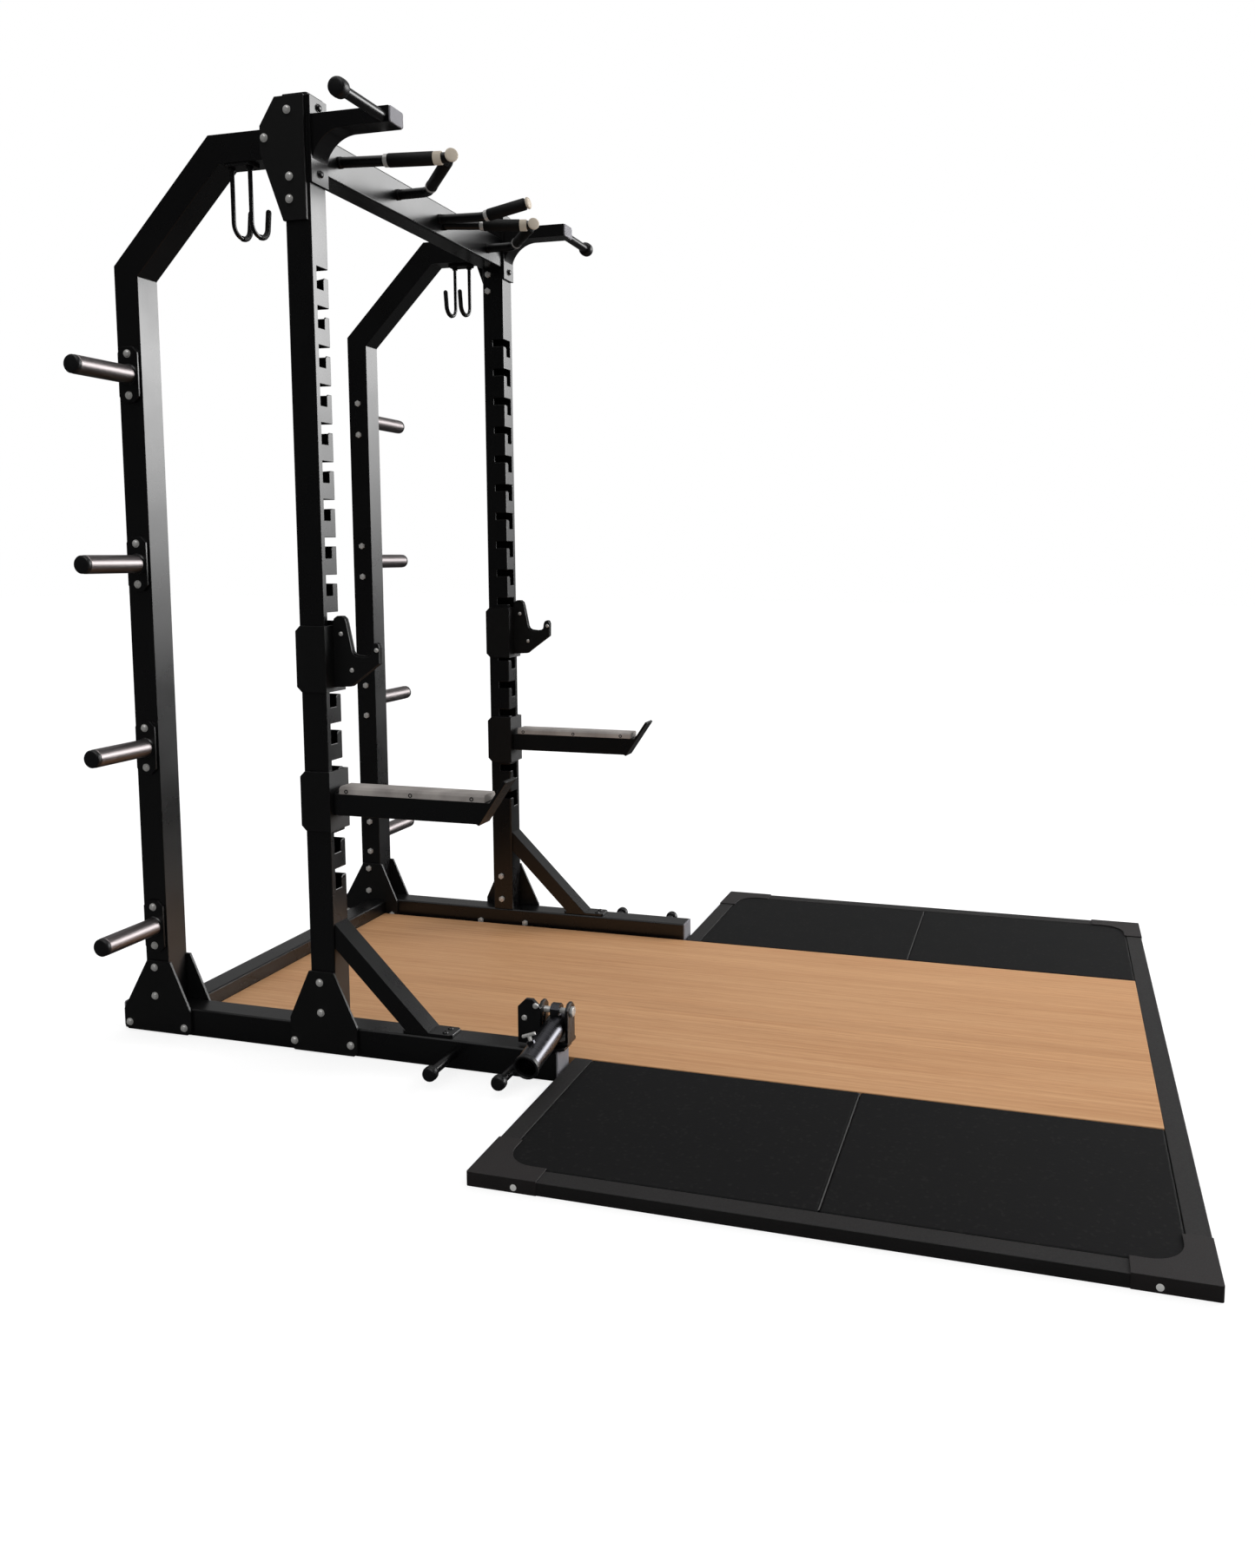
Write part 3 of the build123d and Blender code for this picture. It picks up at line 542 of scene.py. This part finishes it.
def makeSeamHighlights():
    # painted highlight: a pale strip laid along the seam where two mats meet
    look = seamHighlightLook
    bm = bmesh.new()
    low, high = look["z"]
    near, far = look["y"] - look["half"], look["y"] + look["half"]
    for s in sides.values():
        first, last = (s * x for x in look["x"])
        corners = [(first, near, low), (last, near, low), (last, far, low), (first, far, low)]
        addPlate(bm, corners, (0, 0, high - low), look["bevel"])
    finishPiece("matSeamHighlights", bm, moulded["paintedSeamHighlight"], "rack", smooth=5)


makeSeamHighlights()
print("mat seams ready")

coverLook = {
    "shrinkMm": 1.4,
    "round": (5.0, 4),  # bevel of the outer corners and its segments
    "bevel": (1.0, 2),
    "edgeAngle": 40,
    "tipSlack": 0.5,
    "boltFromCorner": 112,
    "boltZ": 12,
    "boltHead": [(-1, 0), (-1, 8), (0.6, 7.2), (1.2, 4), (1.2, 0)],  # (height, radius)
}


def makeCovers():
    # moulded covers drawn in a little, so that their low bolt heads stay within the platform's outline
    look = coverLook
    low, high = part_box("corner_covers")
    middle = (low + high) / 2
    bm = copyNode("corner_covers")
    shrink = Vector(1 - 2 * look["shrinkMm"] * mm / (high[i] - low[i]) if i < 2 else 1 for i in range(3))
    centred = Matrix.Translation((-middle.x, -middle.y, 0))
    bmesh.ops.scale(bm, verts=bm.verts, vec=shrink, space=centred)
    reach = {vert: abs(vert.co.x) + abs(vert.co.y - middle.y) for vert in bm.verts}
    far = max(reach.values()) - look["tipSlack"] * mm
    outer = [edge for edge in bm.edges if all(reach[vert] > far for vert in edge.verts)]
    easeEdges(bm, outer, *look["round"])
    easeEdges(bm, sharpEdges(bm, look["edgeAngle"]), *look["bevel"])
    rubber = moulded["mouldedCoverRubber"]
    finishPiece("cornerCovers", bm, rubber, "rack", ["corner_covers"], smooth=20)
    bm = bmesh.new()
    for sx, x in ((-1, low.x), (1, high.x)):
        for sy, y in ((-1, low.y), (1, high.y)):
            corner = Vector((x - sx * look["shrinkMm"] * mm, y - sy * look["shrinkMm"] * mm, 0)) / mm
            inset = look["boltFromCorner"]
            besideX = corner + Vector((0, -sy * inset, look["boltZ"]))
            besideY = corner + Vector((-sx * inset, 0, look["boltZ"]))
            turnProfile(bm, look["boltHead"], besideX, (sx, 0, 0), flats["screw"])
            turnProfile(bm, look["boltHead"], besideY, (0, sy, 0), flats["screw"])
    finishPiece("coverBolts", bm, metals["zincFlakeCoat"], "rack")


makeCovers()
print("corner covers ready")

# a domed head on a plain washer, as (distance from the seat, radius)
domedHead = [(0, 0), (0, 11), (1.5, 11), (1.7, 9.4), (4.2, 9), (6.2, 7.4), (7.6, 4.2), (8, 0)]
boltLook = {
    "outside": 608,
    "nut": (11, 7),  # radius and height
    # the nuts' seat, then the places as (y, z)
    "rear": (517, [(1332, 194), (1334, 110), (1240, 24), (1425, 24)]),
    "front": (525, [(792, 202), (791, 117), (877, 30), (701, 34)]),
    "top": (525, [(804, 2501), (874, 2437), (803, 2336), (805, 2280)]),
}
# shares of the nut's radius for its eased rim and the bolt's end, and how far that end stands out
nutShape = {"ease": 0.12, "bolt": 0.6, "boltTip": 0.55, "boltOut": (0.7, 1)}


def addNut(bm, seat, axis, radius, height):
    # a hexagon nut with its outer corners eased, and the end of the bolt standing out of it
    way = Vector(axis).normalized()
    turn = Matrix.Translation(Vector(seat) * mm) @ way.to_track_quat("Z", "Y").to_matrix().to_4x4()
    made = bmesh.ops.create_circle(bm, cap_ends=True, segments=6, radius=radius * mm, matrix=turn)
    face = made["verts"][0].link_faces[0]
    raised = bmesh.ops.extrude_face_region(bm, geom=[face])["geom"]
    top = [part for part in raised if isinstance(part, bmesh.types.BMVert)]
    bmesh.ops.translate(bm, verts=top, vec=way * (height * mm))
    rim = [part for part in raised if isinstance(part, bmesh.types.BMEdge)]
    shape = nutShape
    easeEdges(bm, rim, shape["ease"] * radius, 2)
    rise, end = (height + out for out in shape["boltOut"])
    tip = [(height, 0), (height, radius * shape["bolt"]), (rise, radius * shape["boltTip"]), (end, 0)]
    turnProfile(bm, tip, seat, axis, flats["stub"])


def makeFrameBolts():
    look = boltLook
    bm = bmesh.new()
    for s in sides.values():
        for seat, places in (look["rear"], look["front"], look["top"]):
            for y, z in places:
                turnProfile(bm, domedHead, (s * look["outside"], y, z), (s, 0, 0), flats["bolt"])
                addNut(bm, (s * seat, y, z), (-s, 0, 0), *look["nut"])
    finishPiece("frameBolts", bm, zincSteel, "rack", ["frame_bolts"])


makeFrameBolts()
print("frame bolts ready")

hornLook = {
    "y": 1327.5,
    "heights": [315 + 514 * k for k in range(4)],
    "flangeX": (600, 608),
    "flange": (32, 75),
    "cut": 16,
    "r": 25,
    "ease": 1.5,
    "weld": [(0, 0), (0, 4), (1.6, 3), (3.4, 1.4), (4, 0), (0, 0)],  # (along the horn, above its surface)
    "endX": 797,
    "capEnd": 809,
    "capR": 24.4,
    "capRim": [(4, 24.4), (1.2, 22.6), (0, 20), (0, 0)],  # (back from the end, radius)
    "boltStep": 56,
    "innerX": 525,
}


def makeHorns():
    look = hornLook
    y, (halfY, halfZ), cut = look["y"], look["flange"], look["cut"]
    baseX, faceX = look["flangeX"]
    reach = look["endX"] - faceX
    r, ease = look["r"], look["ease"]
    horn = [(-sunkMm, 0), (-sunkMm, r), (reach - ease, r), (reach, r - ease), (reach, 0)]
    weld = [(along, r + above) for along, above in look["weld"]]
    capLength = look["capEnd"] - look["endX"]
    cap = [(0, 0), (0, look["capR"])] + [(capLength - back, radius) for back, radius in look["capRim"]]
    caps, bolts = bmesh.new(), bmesh.new()
    for side, s in sides.items():
        tubes, flanges = bmesh.new(), bmesh.new()
        for z in look["heights"]:
            outline = [
                (-halfY, cut - halfZ), (cut - halfY, -halfZ), (halfY - cut, -halfZ), (halfY, cut - halfZ),
                (halfY, halfZ - cut), (halfY - cut, halfZ), (cut - halfY, halfZ), (-halfY, halfZ - cut),
            ]
            corners = [(s * baseX, y + dy, z + dz) for dy, dz in outline]
            addPlate(flanges, corners, (s * (faceX - baseX), 0, 0))
            turnProfile(flanges, weld, (s * faceX, y, z), (s, 0, 0), flats["disc"])
            turnProfile(tubes, horn, (s * faceX, y, z), (s, 0, 0), flats["horn"])
            turnProfile(caps, cap, (s * look["endX"], y, z), (s, 0, 0), flats["cap"])
            for dz in (-look["boltStep"], look["boltStep"]):
                turnProfile(bolts, domedHead, (s * faceX, y, z + dz), (s, 0, 0), flats["bolt"])
                addNut(bolts, (s * look["innerX"], y, z + dz), (-s, 0, 0), *boltLook["nut"])
        node = f"{side}_plate_horns"
        finishPiece(f"{side}HornTubes", tubes, metals["wornHornChrome"], "rack", [node])
        finishPiece(f"{side}HornFlanges", flanges, powderCoat, "rack", [node], smooth=20)
    finishPiece("hornCaps", caps, moulded["blackNylon"], "rack", ["horn_caps"], smooth=40)
    finishPiece("hornBolts", bolts, zincSteel, "rack")


makeHorns()
print("plate horns ready")

pegLook = {
    "base": {"ys": (204, 397), "z": 40, "x": 600, "rod": 12, "length": 108, "knob": 20, "knobLength": 26},
    "arm": {"ys": (540,), "z": 2465, "x": 595, "rod": 14, "length": 172, "knob": 24, "knobLength": 34},
}
# the knob's belly and its two rounded rims, as shares of its length and radius
knobShape = [
    (0, 0), (0, 0.72), (0.06, 0.86), (0.16, 0.96), (0.4, 1),
    (0.72, 0.98), (0.88, 0.9), (0.96, 0.76), (1, 0.55), (1, 0),
]


def makePegs():
    knobs, rods = bmesh.new(), bmesh.new()
    for look in pegLook.values():
        r, length, knobR, knobLength = look["rod"], look["length"], look["knob"], look["knobLength"]
        rod = [(-sunkMm, 0), (-sunkMm, r), (length + sunkMm, r), (length + sunkMm, 0)]
        knob = [(along * knobLength, radius * knobR) for along, radius in knobShape]
        for s in sides.values():
            for y in look["ys"]:
                turnProfile(rods, rod, (s * look["x"], y, look["z"]), (s, 0, 0), flats["peg"])
                end = (s * (look["x"] + length), y, look["z"])
                turnProfile(knobs, knob, end, (s, 0, 0), flats["knob"])
    finishPiece("bandPegs", rods, powderCoat, "rack", ["band_pegs"])
    finishPiece("pegKnobs", knobs, moulded["blackNylon"], "rack", ["peg_knobs"], smooth=50)


makePegs()
print("band pegs ready")

handleLook = {
    # height, then root and end of the straight bar, root and knee of the bent one
    "left": (2410, [(-457, 746), (-417, 447), (-160, 746), (-161, 653)]),
    "right": (2395, [(118, 746), (192, 486), (415, 746), (414, 653)]),
    "pastEnd": 1.06,
    "gripA": (0.44, 0.86),
    "gripB": (0.18, 0.84),
    "bend": 45,
    "bar": 14,
    "grip": 18,
    "slimGrip": 16,
    "ease": 2,
    "collar": (17, 12),
    "endCollar": (17.5, 22),
    "ringEase": 1.5,
    "straight": (0, 2),  # the straight bars have a pale collar where they meet the bent ones
    "bent": (1, 3),
    "disc": (17.5, 8),
    "discEase": 1,
    "discRim": [(2.5, 0), (0.7, 1.6), (0, 4)],  # (back from the face, in from the rim)
    "flange": (15.5, 8),
    "flangeY": 750,
    "centre": [(88, 746, 2405), (88, 605, 2402), (88, 455, 2431)],
    "centreBend": 120,
    "gripCentre": (0.14, 0.96),
}


def ringProfile(bore, radius, length):
    # a ring with its outer edge eased
    ease = handleLook["ringEase"]
    outer = [(length - ease, radius), (length, radius - ease)]
    return [(0, bore), (0, radius), *outer, (length, bore), (0, bore)]


def makeHandles():
    look = handleLook
    flangeR, flangeLength = look["flange"]
    ease = look["ease"]
    flange = [
        (0, 0), (0, flangeR), (flangeLength - ease, flangeR),
        (flangeLength, flangeR - ease), (flangeLength, 0),
    ]
    bars, grips, ends = {}, [], []
    for side in sides:
        z, plan = look[side]
        rootA, endA, rootB, knee = (Vector((x, y, z)) for x, y in plan)
        tip = knee + (endA - knee) * look["pastEnd"]
        bm = bmesh.new()
        runRod(bm, [rootA, endA], look["bar"], flats["bar"])
        runRod(bm, [rootB, knee, tip], look["bar"], flats["bar"], look["bend"])
        for root in (rootA, rootB):
            turnProfile(bm, flange, (root.x, look["flangeY"], root.z), (0, -1, 0), flats["disc"])
        bars[f"{side}_pull_up_handle"] = bm
        grips += [(rootA, endA, *look["gripA"]), (knee, tip, *look["gripB"])]
        ends.append((knee, tip))
    root, elbow, tip = (Vector(point) for point in look["centre"])
    bm = bmesh.new()
    runRod(bm, [root, elbow, tip], look["bar"], flats["bar"], look["centreBend"])
    turnProfile(bm, flange, (root.x, look["flangeY"], root.z), (0, -1, 0), flats["disc"])
    bars["centre_pull_up_grip"] = bm
    grips.append((elbow, tip, *look["gripCentre"]))
    ends.append((elbow, tip))
    for node, bm in bars.items():
        finishPiece(f"{node}.round", bm, powderCoat, "rack", [node])
    rubber, collars, endCollars, discs = (bmesh.new() for k in range(4))
    bar = look["bar"]
    for index, (start, end, first, last) in enumerate(grips):
        way = end - start
        length = way.length * (last - first)
        gripR = look["slimGrip" if index in look["bent"] else "grip"]
        sleeve = [
            (0, bar), (0, gripR - ease), (ease, gripR), (length - ease, gripR),
            (length, gripR - ease), (length, bar), (0, bar),
        ]
        turnProfile(rubber, sleeve, start + way * first, way, flats["grip"])
        turnProfile(collars, ringProfile(bar, *look["collar"]), start + way * first, -way, flats["grip"])
        if index in look["straight"]:
            ring = ringProfile(bar, *look["endCollar"])
            turnProfile(endCollars, ring, start + way * last, way, flats["grip"])
    discR, discLength = look["disc"]
    rim = [(discLength - back, discR - drop) for back, drop in look["discRim"]]
    disc = [(0, 0), (0, discR - look["discEase"]), (look["discEase"], discR), *rim, (discLength, 0)]
    for start, end in ends:
        turnProfile(discs, disc, end, end - start, flats["disc"])
    grip, cream = moulded["gripRubber"], moulded["creamNylon"]
    finishPiece("handleGrips", rubber, grip, "rack", ["handle_grips"], smooth=50)
    finishPiece("handleCollars", collars, zincSteel, "rack", ["handle_collars"])
    finishPiece("handleEndCollars", endCollars, cream, "rack")
    finishPiece("handleEndDiscs", discs, cream, "rack", ["handle_end_discs"], smooth=40)


makeHandles()
print("pull-up handles ready")

hookLook = {
    "ys": {"left": (939, 994), "right": (903, 958)},
    "shankX": 580.5,
    "topZ": 2379,
    "lowZ": 2208,
    "tipRise": 42,
    "bend": 32,
    "rod": 5.8,
    "bendSteps": 8,
    "dip": 7.4,
    "dipStart": 1,  # past the first bend
    "dome": [(0, 0), (0, 1), (0.6, 0.8), (0.95, 0.3), (1, 0)],  # shares of the dip's radius
    "flare": 9,
    "nut": (10, 7),
}


def makeHooks():
    # thin rods with flared tips that are dipped in rubber
    look = hookLook
    bm, dips = bmesh.new(), bmesh.new()
    r, bend, dip, bendSteps = look["rod"], look["bend"], look["dip"], look["bendSteps"]
    dome = [(along * dip, radius * dip) for along, radius in look["dome"]]
    for side, s in sides.items():
        shank, tipX = s * look["shankX"], s * (look["shankX"] - 2 * bend)
        tipZ = look["lowZ"] + bend + look["tipRise"]
        endX, dipX = tipX - s * look["flare"], shank - s * (bend + look["dipStart"])
        for y in look["ys"][side]:
            foot, tip = (tipX, y, look["lowZ"]), (endX, y, tipZ)
            run = [(shank, y, look["topZ"]), (shank, y, look["lowZ"]), foot, tip]
            runRod(bm, run, r, flats["hook"], bend, bendSteps)
            runRod(dips, [(dipX, y, look["lowZ"]), foot, tip], dip, flats["dip"], bend, bendSteps)
            turnProfile(dips, dome, tip, Vector(tip) - Vector(foot), flats["dip"])
            addNut(bm, (shank, y, look["topZ"]), (0, 0, -1), *look["nut"])
    finishPiece("accessoryHooks", bm, powderCoat, "rack", ["accessory_hooks"])
    finishPiece("hookDips", dips, moulded["gripRubber"], "rack")


makeHooks()
print("accessory hooks ready")

smallBoltLook = {
    # heads with a sunk socket, as (height, radius)
    "button": [(-0.5, 0), (-0.5, 8), (1.2, 7.8), (3.4, 6.2), (4.4, 3.6), (4.4, 3), (2.4, 2.8), (2.4, 0)],
    "socket": [(-0.5, 0), (-0.5, 6), (0.6, 5.6), (0.8, 3.2), (-0.4, 3), (-0.4, 0)],
    "catch": [(716, 1158), (611, 1116), (686, 1061)],
    "catchX": (571.5, 553.5),
    "catchShare": 0.8,  # the catches' heads are smaller than the others
    "strip": [700, 508, 330],
    "stripX": (595, 530),
    "stripZ": 735,
    "flange": [2348, 2513],
    "flangeX": 562.5,
    "flangeY": 742,
    "foot": [(548, 430), (577, 430)],
    "footZ": 88,
    "wing": [(166, 190), (198, 155)],
    "wingX": -577,
}


def makeSmallBolts():
    look = smallBoltLook
    button, socket = look["button"], look["socket"]
    small = [(along, radius * look["catchShare"]) for along, radius in button]
    for side, s in sides.items():
        outer, inner = look["catchX"]
        bm = bmesh.new()
        for y, z in look["catch"]:
            turnProfile(bm, small, (s * outer, y, z), (s, 0, 0), flats["bolt"])
            turnProfile(bm, small, (s * inner, y, z), (-s, 0, 0), flats["bolt"])
        finishPiece(f"{side}CatchBolts", bm, zincSteel, f"{side}_bar_catch")
        outer, inner = look["stripX"]
        bm = bmesh.new()
        for y in look["strip"]:
            turnProfile(bm, socket, (s * outer, y, look["stripZ"]), (s, 0, 0), flats["bolt"])
            turnProfile(bm, socket, (s * inner, y, look["stripZ"]), (-s, 0, 0), flats["bolt"])
        finishPiece(f"{side}StripScrews", bm, moulded["blackNylon"], f"{side}_spotter_arm")
    bm = bmesh.new()
    for s in sides.values():
        for z in look["flange"]:
            turnProfile(bm, domedHead, (s * look["flangeX"], look["flangeY"], z), (0, -1, 0), flats["bolt"])
    finishPiece("armFlangeBolts", bm, powderCoat, "rack")
    bm = bmesh.new()
    for s in sides.values():
        for x, y in look["foot"]:
            turnProfile(bm, button, (s * x, y, look["footZ"]), (0, 0, 1), flats["bolt"])
    finishPiece("braceFootBolts", bm, powderCoat, "rack")
    bm = bmesh.new()
    for y, z in look["wing"]:
        turnProfile(bm, button, (look["wingX"], y, z), (-1, 0, 0), flats["bolt"])
    finishPiece("yokeWingBolts", bm, zincSteel, "sleeve_turntable")


makeSmallBolts()
print("small bolts ready")

screwLook = {
    "origin": (-682.9, 120, 107.7),
    "lean": 20,
    "start": 27,
    "threadEnd": 47,  # the collar stays clear of the boss when the screw is driven in
    "pitch": 2,
    "r": 5.2,
    "threadDepth": 0.8,
    "collar": (1, 5.6),  # rise from the thread and radius
    "end": [(3, 5), (4, 0)],  # (past the bar, radius)
    "barAt": 52,
    "barR": 4.5,
    "barHalf": 19,
    "barEase": 1.5,
    "barTip": 0.6,
}


def makeLockScrew():
    # a threaded shank, a collar and a cross bar with rounded ends
    look = screwLook
    lean = math.radians(look["lean"])
    axis = Vector((0, math.sin(lean), math.cos(lean)))
    bm = bmesh.new()
    threadEnd, barAt, core = look["threadEnd"], look["barAt"], look["r"] - look["threadDepth"]
    collarRise, collarR = look["collar"]
    turns = int((threadEnd - look["start"]) / look["pitch"])
    shank = [(look["start"], 0)]
    for k in range(turns):
        along = look["start"] + k * look["pitch"]
        shank += [(along, core), (along + look["pitch"] / 2, look["r"])]
    shank += [(threadEnd, core), (threadEnd + collarRise, collarR), (barAt, collarR)]
    shank += [(barAt + past, radius) for past, radius in look["end"]]
    turnProfile(bm, shank, look["origin"], axis, flats["screw"])
    half, r, ease = look["barHalf"], look["barR"], look["barEase"]
    tipR = r * look["barTip"]
    bar = [(-half, 0), (-half, tipR), (ease - half, r), (half - ease, r), (half, tipR), (half, 0)]
    turnProfile(bm, bar, Vector(look["origin"]) + axis * barAt, (0, axis.z, -axis.y), flats["bolt"])
    finishPiece("lockScrew", bm, zincSteel, "lock_screw", ["sleeve_lock_screw"])


makeLockScrew()
print("lock screw ready")

stageLook = {
    "floorSize": 60.0,
    "floorDiffuse": 0.42,
    "floorGlow": 0.75,
    "ambient": 0.75,
    "softboxPower": 240.0,
    "softboxPlace": (3.8, -4.6, 3.2),
    "softboxSize": (3.4, 2.6),
    "aim": (0.0, -0.4, 0.7),
    "boxTurn": -50,  # where polished faces see the softbox, in degrees round from X and above the horizon
    "boxRise": 12,
    "boxHalf": (28, 16),
    "boxFade": (1.2, 0.2),
    "boxLevel": 15.0,
    "roomLevel": 0.035,
    # what polished faces see besides: the way to it, where it starts and is full, and its level
    "backdrop": ((0.9, 0.44, 0.0), (0.2, 0.9), 0.24),
    "ceiling": ((0.0, 0.0, 1.0), (0.5, 0.95), 0.8),
    "lamp": ((-0.5, -0.17, 0.85), (0.94, 0.98), 3.5),
    "floorShine": 0.07,
}


def makeFloor():
    look = stageLook
    bm = bmesh.new()
    bmesh.ops.create_grid(bm, x_segments=1, y_segments=1, size=look["floorSize"] / 2)
    mesh = bpy.data.meshes.new("floor")
    bm.to_mesh(mesh)
    bm.free()
    floor = bpy.data.objects.new("floor", mesh)
    bpy.context.scene.collection.objects.link(floor)
    material, tree, shader, _ = startMaterial("paleStudioFloor")
    tree.nodes.remove(shader)
    path = addNode(tree, "ShaderNodeLightPath")
    plain, shine = ((look[key],) * 3 + (1.0,) for key in ("floorDiffuse", "floorShine"))
    tones = {0: path.outputs["Is Glossy Ray"], 6: plain, 7: shine}
    grey = addNode(tree, "ShaderNodeMix", tones, data_type="RGBA").outputs[2]
    matt = addNode(tree, "ShaderNodeBsdfDiffuse", {"Color": grey}).outputs[0]
    seen = {0: path.outputs["Is Camera Ray"], 1: look["floorGlow"]}
    glow = addNode(tree, "ShaderNodeMath", seen, operation="MULTIPLY").outputs[0]
    light = addNode(tree, "ShaderNodeEmission", {"Strength": glow}).outputs[0]
    total = addNode(tree, "ShaderNodeAddShader", {0: matt, 1: light}).outputs[0]
    tree.links.new(total, tree.nodes["Material Output"].inputs["Surface"])
    mesh.materials.append(material)


def makeWorld():
    # white to the camera; glossy rays see a dark room with a softbox, a pale backdrop,
    # a soft ceiling and a small lamp
    look = stageLook
    world = bpy.data.worlds.new("whiteStudio")
    world.use_nodes = True
    bpy.context.scene.world = world
    tree = world.node_tree
    back = tree.nodes["Background"]
    path = addNode(tree, "ShaderNodeLightPath")
    direction = addNode(tree, "ShaderNodeTexCoord").outputs["Generated"]
    spin = {"Vector": direction, "Angle": math.radians(-look["boxTurn"])}
    ahead = addNode(tree, "ShaderNodeVectorRotate", spin, rotation_type="Z_AXIS").outputs[0]
    halfWide, halfTall = (math.sin(math.radians(angle)) for angle in look["boxHalf"])
    rise = math.sin(math.radians(look["boxRise"]))
    oval = {0: ahead, 1: (1.0, 1 / halfWide, 1 / halfTall), 2: (-1.0, 0.0, -rise / halfTall)}
    spot = addNode(tree, "ShaderNodeVectorMath", oval, operation="MULTIPLY_ADD").outputs[0]
    away = addNode(tree, "ShaderNodeVectorMath", {0: spot}, operation="LENGTH").outputs["Value"]
    rim, core = look["boxFade"]
    fade = {
        "Value": away, "From Min": rim, "From Max": core,
        "To Min": look["roomLevel"], "To Max": look["boxLevel"],
    }
    studio = addNode(tree, "ShaderNodeMapRange", fade, interpolation_type="SMOOTHSTEP").outputs["Result"]
    for region in ("backdrop", "ceiling", "lamp"):
        way, (start, full), most = look[region]
        facing = addNode(tree, "ShaderNodeVectorMath", {0: direction, 1: way}, operation="DOT_PRODUCT")
        ramp = {"Value": facing.outputs["Value"], "From Min": start, "From Max": full, "To Max": most}
        level = addNode(tree, "ShaderNodeMapRange", ramp, interpolation_type="SMOOTHSTEP").outputs["Result"]
        studio = addNode(tree, "ShaderNodeMath", {0: level, 1: studio}, operation="ADD").outputs[0]
    seen = {0: path.outputs["Is Camera Ray"], 1: path.outputs["Is Transmission Ray"]}
    white = addNode(tree, "ShaderNodeMath", seen, operation="MAXIMUM").outputs[0]
    glossy = addNode(tree, "ShaderNodeMix", {0: path.outputs["Is Glossy Ray"], 2: look["ambient"], 3: studio})
    level = addNode(tree, "ShaderNodeMix", {0: white, 2: glossy.outputs[0], 3: 1.0}).outputs[0]
    tree.links.new(level, back.inputs["Strength"])
    back.inputs["Color"].default_value = (1.0, 1.0, 1.0, 1.0)


def makeSoftbox():
    look = stageLook
    lamp = bpy.data.lights.new("softbox", "AREA")
    lamp.shape = "RECTANGLE"
    lamp.size, lamp.size_y = look["softboxSize"]
    lamp.energy = look["softboxPower"]
    box = bpy.data.objects.new("softbox", lamp)
    box.location = look["softboxPlace"]
    box.rotation_euler = (Vector(look["aim"]) - box.location).to_track_quat("-Z", "Y").to_euler()
    box.visible_glossy = False  # its reflection is the world's bright patch
    bpy.context.scene.collection.objects.link(box)


cameraLook = {
    "place": (-3.3783, -1.1039, 1.3712),
    "yaw": 15.6,
    "pitch": -5.59,
    "focalPx": 1378.2,
    "centrePx": (822.7, 772.7),
    "imagePx": (1445, 1806),
    "sensorMm": 36.0,
    "clipEnd": 200.0,
}


def makeCamera():
    look = cameraLook
    wide, tall = look["imagePx"]
    data = bpy.data.cameras.new("camera")
    data.sensor_width = look["sensorMm"]
    data.lens = look["focalPx"] * data.sensor_width / max(wide, tall)
    data.shift_x = (wide / 2 - look["centrePx"][0]) / max(wide, tall)
    data.shift_y = (look["centrePx"][1] - tall / 2) / max(wide, tall)
    data.clip_end = look["clipEnd"]
    yaw, pitch = math.radians(look["yaw"]), math.radians(look["pitch"])
    way = Vector((math.cos(pitch) * math.cos(yaw), math.cos(pitch) * math.sin(yaw), math.sin(pitch)))
    camera = bpy.data.objects.new("camera", data)
    camera.location = look["place"]
    camera.rotation_euler = way.to_track_quat("-Z", "Y").to_euler()
    bpy.context.scene.collection.objects.link(camera)
    bpy.context.scene.camera = camera


makeFloor()
makeWorld()
makeSoftbox()
makeCamera()
bpy.context.scene.view_settings.view_transform = "Standard"
print("stage, light and camera ready")
